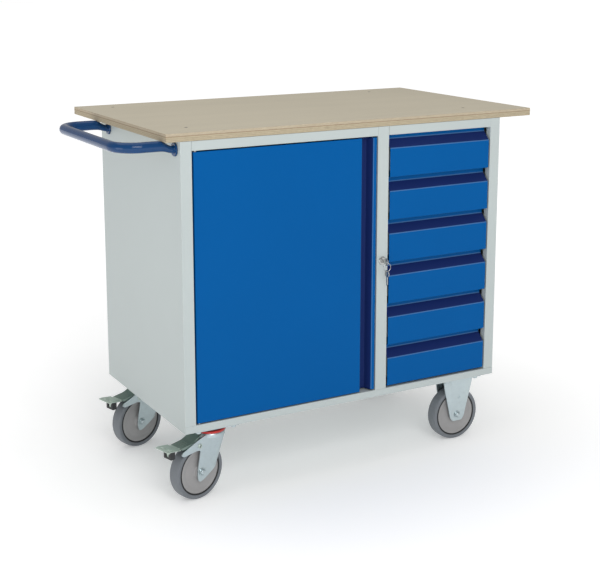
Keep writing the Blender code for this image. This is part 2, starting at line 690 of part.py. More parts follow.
def wheel(name, pivot, rubber, plastic):
    """Tyre and wheel core; the pivot is at the wheel's centre."""
    half = WHEEL_WIDTH / 2
    inner = WHEEL_RADIUS - TYRE_DEPTH
    crown = 3 * MM
    profile = [
        (inner, -half + crown), (WHEEL_RADIUS - 6 * MM, -half),
        (WHEEL_RADIUS - 1.2 * MM, -half + 6 * MM), (WHEEL_RADIUS, 0),
        (WHEEL_RADIUS - 1.2 * MM, half - 6 * MM),
        (WHEEL_RADIUS - 6 * MM, half), (inner, half - crown),
    ]
    place(f"{name}_tyre", turned(profile, "Y", (0, 0, 0), ROUND), rubber, pivot)
    rim = inner - GAP
    bore = AXLE_RADIUS + GAP
    hub = 17 * MM
    end = HUB_WIDTH / 2
    core = [
        (bore, -end), (hub, -end), (hub + 3 * MM, -half + 1 * MM), (rim, -half + crown),
        (rim, half - crown), (hub + 3 * MM, half - 1 * MM), (hub, end), (bore, end),
    ]
    place(f"{name}_wheel_core", turned(core, "Y", (0, 0, 0), ROUND), plastic, pivot)


def axle(name, pivot, centre, steel):
    """Axle bolt across the fork, with a head at the front and a nut at the back."""
    outer = FORK_INNER + FORK_SHEET + GAP
    head = 10.5 * MM
    high = 6 * MM
    profile = [
        (0, -outer - high), (head, -outer - high), (head, -outer), (AXLE_RADIUS, -outer),
        (AXLE_RADIUS, outer), (head, outer), (head, outer + high), (0, outer + high),
    ]
    place(name, turned(profile, "Y", centre, SMALL_ROUND), steel, pivot)


def caster_plate(x, y):
    """The flat plate under the floor tray that a caster is bolted on by."""
    top = CABINET_BOTTOM - GAP
    low = (x - PLATE_X, y - PLATE_Y, top - PLATE_THICKNESS)
    return block(low, (x + PLATE_X, y + PLATE_Y, top))


def fork_sides(y):
    """Where a fork's two arms start and end across the wheel."""
    return ((y - FORK_INNER - FORK_SHEET, y - FORK_INNER), (y + FORK_INNER, y + FORK_INNER + FORK_SHEET))


def swivel_caster(side, y, zinc, rubber, plastic, black):
    """Swivel caster with a total lock: plate, fork, axle, wheel, pedal and its plastic tip."""
    stand = at(CASTER_X_SWIVEL, y, 0)
    king = empty(f"{side}_swivel", stand, None, SWIVEL_REST)
    plate = place(f"{side}_swivel_plate", caster_plate(CASTER_X_SWIVEL, y), zinc)
    head_top = CABINET_BOTTOM - GAP - PLATE_THICKNESS + 1 * MM
    button = KING_PIN + 5 * MM          # the king pin's riveted end
    button_low = CROWN_TOP - 14 * MM
    button_top = CROWN_TOP - 10.5 * MM
    profile = [
        (0, button_low), (button, button_low), (button, button_top), (KING_PIN, button_top),
        (KING_PIN, CROWN_TOP + GAP), (HEAD_RADIUS, CROWN_TOP + GAP),
        (HEAD_RADIUS, head_top), (0, head_top),
    ]
    combine(plate, turned(profile, "Z", (CASTER_X_SWIVEL, y, 0), MIDDLE_ROUND), "UNION")
    # one arm of the fork: down the front, round the axle, and back along the pedal's spur
    outline = [
        (30, 178), (24, 150), (-2, 92), (-36, 66), (-58, 54), (-65, 60), (-66, 80), (-62, 105),
        (-58, 134), (-70, 139), (-112, 134), (-117, 140), (-112, 147), (-62, 169), (-38, 178),
    ]
    outline = [(u * MM, v * MM) for u, v in outline]
    bore = KING_PIN + GAP
    crown = [(bore, CROWN_LOW), (CROWN_RADIUS, CROWN_LOW), (CROWN_RADIUS, CROWN_TOP), (bore, CROWN_TOP)]
    fork = place(f"{side}_swivel_fork", turned(crown, "Z", (0, 0, 0), MIDDLE_ROUND), zinc, king)
    for start, end in fork_sides(0):
        combine(fork, prism(outline, "Y", start, end), "UNION")
    brow = [(30, 178), (24, 150), (20.5, 150), (26, 178)]
    brow = [(u * MM, v * MM) for u, v in brow]
    combine(fork, prism(brow, "Y", -FORK_INNER - 1 * MM, FORK_INNER + 1 * MM), "UNION")
    axle_at = Vector((-SWIVEL_TRAIL, 0, WHEEL_RADIUS))
    outer = FORK_INNER + FORK_SHEET + 2 * MM
    combine(fork, rod(AXLE_RADIUS + GAP, "Y", axle_at, -outer, outer), "DIFFERENCE")
    hinge_at = Vector((-57 * MM, 0, 156 * MM))
    stub = 4 * MM
    combine(fork, rod(stub + GAP, "Y", hinge_at, -outer, outer), "DIFFERENCE")
    axle(f"{side}_swivel_axle", king, axle_at, zinc)
    spin = empty(f"{side}_swivel_spin", axle_at, king)
    wheel(f"{side}_swivel", spin, rubber, plastic)
    brake = empty(f"{side}_brake", hinge_at, king)
    brake_pedal(side, brake, zinc, black, stub)


def brake_pedal(side, brake, zinc, black, stub):
    """Foot pedal between the fork's arms, wider past their ends, with a black tip under it."""
    inner = FORK_INNER - 0.5 * MM
    sheet = 2 * MM
    top = [(-14, 8), (-60, 4), (-104, 10), (-104, 12), (-60, 6.2), (-14, 10.2)]
    top = [(u * MM, v * MM) for u, v in top]
    pedal = place(f"{side}_brake_pedal", prism(top, "Y", -inner, inner), zinc, brake)
    wide = [(-64, 4.6), (-104, 10), (-104, 12), (-64, 6.8)]
    wide = [(u * MM, v * MM) for u, v in wide]
    combine(pedal, prism(wide, "Y", -28 * MM, 28 * MM), "UNION")
    ear = [(6, -5), (7, 3), (2, 8), (-16, 9), (-58, 5), (-58, 1), (-16, 2.5), (-5, -5), (0, -7)]
    ear = [(u * MM, v * MM) for u, v in ear]
    for start, end in ((-inner, sheet - inner), (inner - sheet, inner)):
        combine(pedal, prism(ear, "Y", start, end), "UNION")
    for sign in (-1, 1):
        ends = sorted((sign * (inner - sheet / 2), sign * (FORK_INNER + FORK_SHEET + 1 * MM)))
        combine(pedal, rod(stub, "Y", (0, 0, 0), *ends), "UNION")
    low = -22 * MM
    clip = block((-92 * MM, -20 * MM, low), (-66 * MM, 20 * MM, 2.5 * MM))
    tip = place(f"{side}_pedal_tip", clip, black, brake)
    combine(tip, block((-86 * MM, -12 * MM, low + 7 * MM), (-60 * MM, 12 * MM, 5 * MM)), "DIFFERENCE")


def fixed_caster(side, y, zinc, rubber, plastic):
    """Fixed caster: one pressed fork with its plate, axle and wheel."""
    x = CASTER_X_FIXED
    fork = place(f"{side}_fixed_fork", caster_plate(x, y), zinc)
    outline = [
        (-58, 203), (58, 203), (46, 150), (25, 78), (18, 64), (-18, 64), (-25, 78), (-46, 150),
    ]
    outline = [(x + u * MM, v * MM) for u, v in outline]
    for start, end in fork_sides(y):
        combine(fork, prism(outline, "Y", start, end), "UNION")
    centre = Vector((x, y, WHEEL_RADIUS))
    outer = FORK_INNER + FORK_SHEET + 2 * MM
    combine(fork, rod(AXLE_RADIUS + GAP, "Y", centre, -outer, outer), "DIFFERENCE")
    axle(f"{side}_fixed_axle", None, centre, zinc)
    spin = empty(f"{side}_fixed_spin", at(x, y, WHEEL_RADIUS))
    wheel(f"{side}_fixed", spin, rubber, plastic)


def main():
    """Clear the file and build every piece."""
    for thing in list(bpy.data.objects):
        bpy.data.objects.remove(thing)
    grey = paint("light_grey_paint", (0.58, 0.63, 0.62), 0.42)
    blue = paint("gentian_blue_paint", (0.0, 0.085, 0.34), 0.32)
    steel = paint("plated_steel", (0.62, 0.63, 0.62), 0.3, 1.0)
    zinc = paint("zinc_plate", (0.6, 0.66, 0.68), 0.34, 1.0)
    wood = paint("plywood", (0.55, 0.47, 0.35), 0.5)
    rubber = paint("grey_tyre", (0.13, 0.14, 0.15), 0.7)
    plastic = paint("grey_wheel_plastic", (0.24, 0.235, 0.235), 0.5)
    black = paint("black_plastic", (0.02, 0.02, 0.022), 0.5)
    side_panels(grey)
    middle_partition(grey)
    rails(grey)
    floor_tray(grey)
    back_panel(grey)
    cupboard_shelf(grey)
    worktop(wood, steel)
    push_handle(blue)
    for number in range(1, DRAWERS + 1):
        drawer(number, blue, grey)
    runner_racks(steel)
    door(blue, steel)
    lock(steel)
    for side, y in (("front", CASTER_Y_FRONT), ("rear", CASTER_Y_REAR)):
        swivel_caster(side, y, zinc, rubber, plastic, black)
        fixed_caster(side, y, zinc, rubber, plastic)


main()
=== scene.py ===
import math

import bmesh
import bpy
from mathutils import Matrix, Vector


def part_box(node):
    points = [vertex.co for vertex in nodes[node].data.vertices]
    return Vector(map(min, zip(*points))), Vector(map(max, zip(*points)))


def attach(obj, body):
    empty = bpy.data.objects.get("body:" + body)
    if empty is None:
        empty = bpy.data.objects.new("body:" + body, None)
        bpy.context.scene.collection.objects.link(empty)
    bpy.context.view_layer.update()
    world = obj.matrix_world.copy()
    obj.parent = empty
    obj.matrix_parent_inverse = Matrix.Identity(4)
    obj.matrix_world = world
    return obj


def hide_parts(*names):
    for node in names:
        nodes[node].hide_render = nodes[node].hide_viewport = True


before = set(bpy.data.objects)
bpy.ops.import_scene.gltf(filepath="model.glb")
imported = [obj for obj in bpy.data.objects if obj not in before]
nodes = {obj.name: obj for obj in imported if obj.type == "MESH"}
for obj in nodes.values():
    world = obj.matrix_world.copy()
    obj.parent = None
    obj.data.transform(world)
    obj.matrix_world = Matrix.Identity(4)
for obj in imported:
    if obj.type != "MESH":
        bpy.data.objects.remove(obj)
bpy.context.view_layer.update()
mm = 0.001
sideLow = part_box("left_side_panel")[0]
frontLeft = Vector((sideLow.x, sideLow.y, 0.0))  # the cabinet's front left edge, on the floor


def spot(x, y, z):
    # a place given in millimetres from the cabinet's front left edge
    return frontLeft + Vector((x, y, z)) * mm


class Wire:
    # a socket that can be used in an expression
    def __init__(self, recipe, socket):
        self.recipe = recipe
        self.socket = socket

    def maths(self, operation, first, second=0.0):
        return self.recipe.node("ShaderNodeMath", {"operation": operation}, {0: first, 1: second})

    def __add__(self, other):
        return self.maths("ADD", self, other)

    def __radd__(self, other):
        return self.maths("ADD", other, self)

    def __sub__(self, other):
        return self.maths("SUBTRACT", self, other)

    def __rsub__(self, other):
        return self.maths("SUBTRACT", other, self)

    def __mul__(self, other):
        return self.maths("MULTIPLY", self, other)

    def __rmul__(self, other):
        return self.maths("MULTIPLY", other, self)

    def __truediv__(self, other):
        return self.maths("DIVIDE", self, other)

    def __gt__(self, other):
        return self.maths("GREATER_THAN", self, other)

    def __lt__(self, other):
        return self.maths("LESS_THAN", self, other)


class Recipe:
    # one material and its nodes
    def __init__(self, name, values):
        self.material = bpy.data.materials.new(name)
        self.material.use_nodes = True
        self.tree = self.material.node_tree
        self.shader = self.tree.nodes["Principled BSDF"]
        for socket, value in values.items():
            self.shader.inputs[socket].default_value = value
        self.place = self.node("ShaderNodeTexCoord", {}, {}, "Object")

    def node(self, kind, settings, sockets, output=0):
        made = self.tree.nodes.new(kind)
        for setting, value in settings.items():
            if setting == "stops":
                ramp = made.color_ramp
                while len(ramp.elements) < len(value):
                    ramp.elements.new(1.0)
                for element, (position, colour) in zip(ramp.elements, value):
                    element.position = position
                    element.color = (*colour, 1.0)
            elif setting == "interpolation":
                made.color_ramp.interpolation = value
            else:
                setattr(made, setting, value)
        for socket, value in sockets.items():
            if isinstance(value, Wire):
                self.tree.links.new(value.socket, made.inputs[socket])
            else:
                made.inputs[socket].default_value = value
        return Wire(self, made.outputs[output])

    def noise(self, scale, detail=2.0, stretch=(1.0, 1.0, 1.0), rough=0.5):
        where = self.node("ShaderNodeMapping", {}, {"Vector": self.place, "Scale": stretch})
        values = {"Vector": where, "Scale": scale, "Detail": detail, "Roughness": rough}
        return self.node("ShaderNodeTexNoise", {}, values, "Fac")

    def colours(self, factor, first, second):
        first = first if isinstance(first, Wire) else (*first, 1.0)
        second = second if isinstance(second, Wire) else (*second, 1.0)
        return self.node("ShaderNodeMix", {"data_type": "RGBA"}, {0: factor, 6: first, 7: second}, 2)

    def ramp(self, factor, stops, interpolation="LINEAR"):
        settings = {"stops": stops, "interpolation": interpolation}
        return self.node("ShaderNodeValToRGB", settings, {"Fac": factor}, "Color")

    def feed(self, socket, wire):
        self.tree.links.new(wire.socket, self.shader.inputs[socket])

    def bump(self, height, distance, strength=1.0):
        values = {"Height": height, "Distance": distance, "Strength": strength}
        self.feed("Normal", self.node("ShaderNodeBump", {}, values, "Normal"))


def shade(colour, factor):
    return tuple(channel * factor for channel in colour)


paintLooks = {
    "greyPaint": {"colour": (0.47, 0.522, 0.518), "roughness": 0.42, "specular": 0.4, "coat": 0.0},
    "bluePaint": {"colour": (0.0, 0.092, 0.315), "roughness": 0.36, "specular": 0.05, "coat": 0.0},
    # painted shade: dark navy for the recessed grips, where shade falls
    "gripShadePaint": {"colour": (0.01, 0.024, 0.12), "roughness": 0.36, "specular": 0.08, "coat": 0.0},
    # painted highlight: lighter blue for the folds beside the grips, where they catch the light
    "foldHighlightPaint": {"colour": (0.045, 0.14, 0.34), "roughness": 0.3, "specular": 0.3, "coat": 0.0},
    "handlePaint": {"colour": (0.0, 0.04, 0.14), "roughness": 0.14, "specular": 0.3, "coat": 0.15},
}


def powderCoat(name, colour, roughness, specular, coat):
    # powder coat: orange peel, a fine speckle and slow clouds in its tone and gloss
    recipe = Recipe(name, {"Coat Weight": coat, "Coat Roughness": 0.12, "Specular IOR Level": specular})
    peel = recipe.noise(420.0, 2.0)
    speckle = recipe.noise(2300.0, 1.0)
    cloud = recipe.noise(4.0, 3.0)
    tone = 0.55 * cloud + 0.45 * speckle
    recipe.feed("Base Color", recipe.colours(tone, shade(colour, 0.93), shade(colour, 1.06)))
    recipe.feed("Roughness", roughness - 0.05 + 0.06 * cloud + 0.05 * speckle)
    recipe.bump(0.8 * peel + 0.2 * speckle, 0.00012, 0.35)
    return recipe.material


metalLooks = {
    "zincPlate": {"colour": (0.52, 0.6, 0.62), "roughness": 0.3, "mottle": 70.0, "depth": 0.00005},
    "platedSteel": {"colour": (0.6, 0.6, 0.58), "roughness": 0.33, "mottle": 130.0, "depth": 0.00004},
    "lockNickel": {"colour": (0.5, 0.51, 0.5), "roughness": 0.18, "mottle": 260.0, "depth": 0.00002},
    # the dark screw finish also paints shade into the pedal rivets' hollows
    "darkScrewAndHollowShade": {"colour": (0.1, 0.095, 0.085), "roughness": 0.42, "mottle": 200.0, "depth": 0.00003},
    # painted shade: a darker copy of the pedal zinc for the pedal's neck, which lies in shade
    "neckShadeZinc": {"colour": (0.27, 0.35, 0.31), "roughness": 0.4, "mottle": 110.0, "depth": 0.00008},
    "pedalZinc": {"colour": (0.58, 0.68, 0.61), "roughness": 0.4, "mottle": 110.0, "depth": 0.00008},
}


def bareMetal(name, colour, roughness, mottle, depth):
    # plated sheet: cloudy patches, faint drawing lines and a fine grain
    recipe = Recipe(name, {"Metallic": 1.0})
    patches = recipe.noise(mottle, 4.0, rough=0.6)
    lines = recipe.noise(700.0, 2.0, (0.06, 1.0, 1.0))
    grain = recipe.noise(3200.0, 1.0)
    tone = 0.6 * patches + 0.25 * lines + 0.15 * grain
    recipe.feed("Base Color", recipe.colours(tone, shade(colour, 0.78), shade(colour, 1.12)))
    recipe.feed("Roughness", roughness - 0.08 + 0.18 * patches + 0.05 * lines)
    recipe.bump(0.5 * lines + 0.5 * grain, depth, 0.5)
    return recipe.material


boardLooks = {
    "face": (0.59, 0.53, 0.4),
    "veneer": (0.43, 0.37, 0.265),
    "crossVeneer": (0.51, 0.45, 0.33),
    "glueLine": (0.27, 0.18, 0.11),
    "upperLayer": (0.52, 0.455, 0.345),
    "darkStain": (0.34, 0.29, 0.23),
    "paleStain": (1.3, 1.27, 1.2),
    "pore": (0.2, 0.12, 0.07),
    "plyStep": 0.09,
    "glueLevel": 0.63,
    "upperLevel": 0.68,
}


def boardFace():
    # the board's broad faces: pale rotary-cut veneer, its faint figure running along X
    recipe = Recipe("boardFace", {"Coat Weight": 0.05})
    figure = recipe.noise(16.0, 5.0, (0.12, 1.0, 1.0), 0.6)
    fibres = recipe.noise(380.0, 3.0, (0.03, 1.0, 1.0))
    flecks = recipe.noise(900.0, 1.0, (0.25, 1.0, 1.0)) > 0.7
    cloud = recipe.noise(2.2, 2.0)
    tone = 0.45 * figure + 0.3 * fibres + 0.25 * cloud
    face = boardLooks["face"]
    base = recipe.colours(tone, shade(face, 0.84), shade(face, 1.13))
    recipe.feed("Base Color", recipe.colours(0.25 * flecks, base, shade(face, 0.6)))
    recipe.feed("Roughness", 0.5 + 0.12 * fibres)
    recipe.bump(0.7 * fibres + 0.3 * figure, 0.0001, 0.4)
    return recipe.material


def boardEdge():
    # the board's sawn edge: crossed plies below, one dark glue line, a pale layer on top
    recipe = Recipe("boardEdge", {})
    low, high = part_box("worktop")
    split = recipe.node("ShaderNodeSeparateXYZ", {}, {0: recipe.place}, "Z")
    level = (split - low.z) / (high.z - low.z)
    looks = boardLooks
    crossed = (looks["veneer"], looks["crossVeneer"])
    stops = [(looks["plyStep"] * ply, crossed[ply % 2]) for ply in range(7)]
    stops += [(looks["glueLevel"], looks["glueLine"]), (looks["upperLevel"], looks["upperLayer"])]
    wobble = recipe.noise(30.0, 2.0, (1.0, 1.0, 0.2))
    plies = recipe.ramp(level + 0.02 * (wobble - 0.5), stops, "CONSTANT")
    streaks = recipe.noise(300.0, 3.0, (0.3, 0.3, 6.0))
    pores = recipe.noise(1500.0, 1.0, (1.0, 1.0, 0.5)) > 0.68
    stain = recipe.colours(streaks, looks["darkStain"], looks["paleStain"])
    multiply = {"data_type": "RGBA", "blend_type": "MULTIPLY"}
    stained = recipe.node("ShaderNodeMix", multiply, {0: 0.75, 6: plies, 7: stain}, 2)
    recipe.feed("Base Color", recipe.colours(0.35 * pores, stained, looks["pore"]))
    recipe.feed("Roughness", 0.62 + 0.15 * streaks)
    recipe.bump(streaks - 0.6 * pores, 0.00015, 0.5)
    return recipe.material


plasticLooks = {
    "greyTyre": {"colour": (0.155, 0.17, 0.188), "roughness": 0.52, "grain": 650.0, "depth": 0.00012},
    # near-black for the ring in the joint between wheel core and tyre: partly the joint's own dark line,
    # partly painted shade for the deep gap
    "blackJointShade": {"colour": (0.01, 0.011, 0.012), "roughness": 0.6, "grain": 800.0, "depth": 0.0001},
    "wheelPlastic": {"colour": (0.31, 0.305, 0.305), "roughness": 0.46, "grain": 900.0, "depth": 0.00008},
    "blackPlastic": {"colour": (0.017, 0.018, 0.02), "roughness": 0.45, "grain": 1100.0, "depth": 0.00008},
    "redSeal": {"colour": (0.52, 0.025, 0.02), "roughness": 0.4, "grain": 900.0, "depth": 0.00005},
}


def mouldedPlastic(name, colour, roughness, grain, depth):
    # moulded rubber or plastic: fine texture, a little bloom and worn, duller patches
    recipe = Recipe(name, {})
    texture = recipe.noise(grain, 2.0)
    bloom = recipe.noise(22.0, 4.0, rough=0.65)
    dust = recipe.noise(2600.0, 1.0)
    tone = 0.65 * bloom + 0.35 * dust
    recipe.feed("Base Color", recipe.colours(tone, shade(colour, 0.82), shade(colour, 1.2)))
    recipe.feed("Roughness", roughness - 0.06 + 0.14 * bloom)
    recipe.bump(0.7 * texture + 0.3 * dust, depth, 0.5)
    return recipe.material


finish = {name: powderCoat(name, **looks) for name, looks in paintLooks.items()}
finish.update({name: bareMetal(name, **looks) for name, looks in metalLooks.items()})
finish.update({name: mouldedPlastic(name, **looks) for name, looks in plasticLooks.items()})
finish["boardFace"] = boardFace()
finish["boardEdge"] = boardEdge()
print("finishes ready")

edgeShape = {
    "sharpAngle": 32.0, "flatAngle": 1.0, "merge": 0.02,
    "broadArea": 250.0, "broadWidth": 3.0, "foldWidth": 3.2,
}


def meanWidth(face):
    return 2 * face.calc_area() / face.calc_perimeter()


def isBroad(face):
    # flat and wide, unlike the narrow strips of a rounded fold
    largeEnough = face.calc_area() > edgeShape["broadArea"] * mm * mm
    return largeEnough and meanWidth(face) > edgeShape["broadWidth"] * mm


def keep(name, bm, look, body, standsFor=(), place=None):
    # turn a bmesh into a piece that rides on a body and stands for CAD nodes
    if place is not None:
        bmesh.ops.transform(bm, matrix=place, verts=bm.verts)
    mesh = bpy.data.meshes.new(name)
    # broad flat faces keep their own normals beside the rounded edges
    bm.edges.index_update()
    broad = {edge.index for face in bm.faces if isBroad(face) for edge in face.edges}
    bm.to_mesh(mesh)
    bm.free()
    mesh.materials.append(finish[look])
    mesh.shade_smooth()
    mesh.set_sharp_from_angle(angle=math.radians(edgeShape["sharpAngle"]))
    for edge in mesh.edges:
        edge.use_edge_sharp = edge.use_edge_sharp or edge.index in broad
    piece = bpy.data.objects.new(name, mesh)
    bpy.context.scene.collection.objects.link(piece)
    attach(piece, body)
    if standsFor:
        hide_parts(*standsFor)
    return piece


def mergeFlats(bm):
    limit = math.radians(edgeShape["flatAngle"])
    bmesh.ops.dissolve_limit(bm, angle_limit=limit, verts=bm.verts, edges=bm.edges)


def cadCopy(name):
    # a merged copy of a CAD node's mesh with its flat faces whole again
    bm = bmesh.new()
    bm.from_mesh(nodes[name].data)
    bmesh.ops.remove_doubles(bm, verts=bm.verts, dist=edgeShape["merge"] * mm)
    mergeFlats(bm)
    return bm


def roundEdges(bm, edges, radius, segments=2):
    edges = [edge for edge in edges if edge.is_valid]
    if edges:
        bmesh.ops.bevel(bm, geom=edges, offset=radius * mm, offset_type="OFFSET", affect="EDGES",
                        segments=segments, profile=0.5, material=-1, clamp_overlap=True)


def outerEdges(bm, angle=40.0):
    limit = math.radians(angle)
    closed = [edge for edge in bm.edges if len(edge.link_faces) == 2]
    return [edge for edge in closed if edge.calc_face_angle_signed(0.0) > limit]


def softened(bm, fold=1.1, cut=0.25):
    # round the folds between broad faces, then break the cut edges
    def isFold(edge):
        return all(meanWidth(face) > edgeShape["foldWidth"] * mm for face in edge.link_faces)
    roundEdges(bm, [edge for edge in outerEdges(bm) if isFold(edge)], fold, 3)
    roundEdges(bm, outerEdges(bm), cut, 1)
    return bm


def block(low, high, radius=0.3, segments=2):
    # a box with broken edges between two corners, in millimetres
    bm = bmesh.new()
    low = Vector(low)
    high = Vector(high)
    bmesh.ops.create_cube(bm, size=1.0)
    bmesh.ops.scale(bm, verts=bm.verts, vec=(high - low) * mm)
    bmesh.ops.translate(bm, verts=bm.verts, vec=(low + high) / 2 * mm)
    if radius:
        roundEdges(bm, bm.edges[:], radius, segments)
    return bm


axes = {"X": Vector((1, 0, 0)), "Y": Vector((0, 1, 0)), "Z": Vector((0, 0, 1))}


def laidOut(axis, level, u, v):
    # a point of an outline that lies at a level along an axis
    return Vector({"X": (level, u, v), "Y": (u, level, v), "Z": (u, v, level)}[axis]) * mm


def roundTurns(steps, closed=False):
    # equal angles right round a circle
    return [math.tau * step / steps for step in range(steps + closed)]


def newVerts(swept):
    return [item for item in swept["geom"] if isinstance(item, bmesh.types.BMVert)]


def turned(profile, axis, sides, centre=(0, 0, 0)):
    # spin a profile of (radius, along) millimetres about an axis through a centre
    bm = bmesh.new()
    along = axes[axis]
    out = axes["Z"] if axis != "Z" else axes["X"]
    line = [bm.verts.new((out * radius + along * place) * mm) for radius, place in profile]
    edges = [bm.edges.new(pair) for pair in zip(line, line[1:])]
    bmesh.ops.spin(bm, geom=line + edges, cent=(0, 0, 0), axis=along, steps=sides,
                   angle=math.tau, use_merge=True)
    bmesh.ops.remove_doubles(bm, verts=bm.verts, dist=0.000005)
    holes = [edge for edge in bm.edges if len(edge.link_faces) == 1]
    if holes:
        bmesh.ops.bridge_loops(bm, edges=holes)
    bmesh.ops.recalc_face_normals(bm, faces=bm.faces)
    bmesh.ops.translate(bm, verts=bm.verts, vec=Vector(centre) * mm)
    return bm


def slab(outline, axis, low, high, radius=0.4, corner=0.0, segments=2):
    # an outline in millimetres, its corners rounded, extruded along an axis
    bm = bmesh.new()
    ring = [bm.verts.new(laidOut(axis, low, u, v)) for u, v in outline]
    face = bm.faces.new(ring)
    if corner:
        bmesh.ops.bevel(bm, geom=ring, offset=corner * mm, offset_type="OFFSET", affect="VERTICES",
                        segments=4, profile=0.5, material=-1, clamp_overlap=True)
        face = bm.faces[:][0]
    swept = bmesh.ops.extrude_face_region(bm, geom=[face])
    bmesh.ops.translate(bm, verts=newVerts(swept), vec=axes[axis] * (high - low) * mm)
    bmesh.ops.recalc_face_normals(bm, faces=bm.faces)
    if radius:
        roundEdges(bm, outerEdges(bm, 50.0), radius, segments)
    return bm


def bentSheet(path, axis, low, high, thickness, radius, outward):
    # sheet folded along a path of outer corners, in millimetres; the face that lies furthest
    # along outward looks that way
    bm = bmesh.new()
    line = [bm.verts.new(laidOut(axis, low, u, v)) for u, v in path]
    for pair in zip(line, line[1:]):
        bm.edges.new(pair)
    bmesh.ops.bevel(bm, geom=line[1:-1], offset=radius * mm, offset_type="OFFSET", affect="VERTICES",
                    segments=5, profile=0.5, material=-1)
    swept = bmesh.ops.extrude_edge_only(bm, edges=bm.edges[:])
    bmesh.ops.translate(bm, verts=newVerts(swept), vec=axes[axis] * (high - low) * mm)
    bmesh.ops.recalc_face_normals(bm, faces=bm.faces)
    furthest = max(bm.faces, key=lambda face: face.calc_center_median().dot(Vector(outward)))
    if furthest.normal.dot(Vector(outward)) < 0:
        bmesh.ops.reverse_faces(bm, faces=bm.faces)
    bmesh.ops.solidify(bm, geom=bm.faces[:], thickness=thickness * mm)
    roundEdges(bm, outerEdges(bm, 60.0), thickness * 0.2, 1)
    return bm


def joined(*meshes):
    # several closed shells in one piece
    whole = bmesh.new()
    for bm in meshes:
        part = bpy.data.meshes.new("part")
        bm.to_mesh(part)
        bm.free()
        whole.from_mesh(part)
        bpy.data.meshes.remove(part)
    return whole


def carve(bm, *cutters, operation="DIFFERENCE"):
    # cut closed shapes out of a bmesh, or keep only what lies inside them
    def asObject(shape):
        mesh = bpy.data.meshes.new("shape")
        shape.to_mesh(mesh)
        shape.free()
        thing = bpy.data.objects.new("shape", mesh)
        bpy.context.scene.collection.objects.link(thing)
        return thing
    body = asObject(bm)
    tools = [asObject(cutter) for cutter in cutters]
    for tool in tools:
        modifier = body.modifiers.new("carve", "BOOLEAN")
        modifier.operation = operation
        modifier.object = tool
        modifier.solver = "EXACT"
    bpy.context.view_layer.update()
    depsgraph = bpy.context.evaluated_depsgraph_get()
    cut = bmesh.new()
    cut.from_object(body, depsgraph)
    for thing in [body] + tools:
        mesh = thing.data
        bpy.data.objects.remove(thing)
        bpy.data.meshes.remove(mesh)
    mergeFlats(cut)
    return cut


cabinetPlace = Matrix.Translation(frontLeft)


def cabinetShell():
    # every folded panel of the cabinet, with its folds and edges rounded
    panels = ["left_side_panel", "right_side_panel", "middle_partition", "door_top_rail", "drawer_top_rail",
              "floor_tray", "back_panel", "cupboard_shelf"]
    for name in panels:
        keep(name + "_steel", softened(cadCopy(name)), "greyPaint", "cabinet", [name])
    for name in ("left_runner_rack", "right_runner_rack"):
        keep(name + "_steel", softened(cadCopy(name), 0.6), "platedSteel", "cabinet", [name])
    keep("lock_bar_steel", softened(cadCopy("lock_bar"), 0.6), "platedSteel", "lock_bar", ["lock_bar"])
    for end in ("upper", "lower"):
        name = "door_hinge_pin_" + end
        low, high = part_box(name)
        radius = (high.x - low.x) / 2 / mm
        half = (high.z - low.z) / 2 / mm
        profile = [(0, -half), (radius - 0.6, -half), (radius, 0.6 - half), (radius, half - 0.6),
                   (radius - 0.6, half), (0, half)]
        pin = turned(profile, "Z", 32)
        keep(name + "_steel", pin, "platedSteel", "cabinet", [name], Matrix.Translation((low + high) / 2))


boardShape = {
    "edgeRadius": 0.9, "headRadius": 5.6, "headDepth": 3.4, "shank": 2.2,
    "recess": 2.8, "recessHalf": 0.5, "recessDepth": 1.5, "proud": 0.2,
}


def worktopBoard():
    bm = softened(cadCopy("worktop"), boardShape["edgeRadius"], 0.3)
    board = keep("worktop_board", bm, "boardFace", "cabinet", ["worktop"])
    board.data.materials.append(finish["boardEdge"])
    for face in board.data.polygons:
        face.material_index = 0 if abs(face.normal.z) > 0.75 else 1
    for corner in ("front_left", "back_left", "front_right", "back_right"):
        name = "worktop_screw_" + corner
        low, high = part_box(name)
        centre = (low + high) / 2
        head = boardShape["headRadius"]
        length = (high.z - low.z) / mm
        proud = boardShape["proud"]
        shank = boardShape["shank"]
        profile = [(0, proud), (head - 0.3, proud), (head, proud - 0.3), (shank, -boardShape["headDepth"]),
                   (shank, -length), (0, -length)]
        arm = boardShape["recess"]
        half = boardShape["recessHalf"]
        deep = boardShape["recessDepth"]
        screw = carve(turned(profile, "Z", 32), block((-arm, -half, -deep), (arm, half, 1), 0),
                      block((-half, -arm, -deep), (half, arm, 1), 0))
        keep(name + "_cross", screw, "darkScrewAndHollowShade", "cabinet", [name],
             Matrix.Translation((centre.x, centre.y, high.z)))


handleShape = {
    "tube": 14.0, "neck": 9.5, "reach": 150.0, "bend": 60.0, "level": 977.0, "foot": 966.0,
    "arms": (32.0, 504.0), "disc": 18.0, "discDepth": 5.0, "start": -0.5,
    "beadReach": 9.3, "bead": 1.7, "ripple": 0.35, "ripples": 18, "bendSteps": 14, "straightSteps": 6,
    # each step from the foot towards the straight arm: reach, height, radius and tilt
    "steps": [(4, 966, 9.5, 0), (10, 966.2, 9.3, 6), (15, 967.2, 9.3, 14), (20, 969, 9.6, 20),
              (25, 971, 10.3, 21), (30, 973, 11.4, 19), (35, 974.8, 12.6, 15), (40, 976, 13.5, 10),
              (45, 976.7, 13.9, 5), (50, 977, 14.0, 0)],
}


def drawOut(bm, edges):
    # extrude a ring of edges and return its new vertices and edges
    swept = bmesh.ops.extrude_edge_only(bm, edges=edges)
    fresh = newVerts(swept)
    drawn = [item for item in swept["geom"] if isinstance(item, bmesh.types.BMEdge)]
    return fresh, [edge for edge in drawn if edge.verts[0] in fresh and edge.verts[1] in fresh]


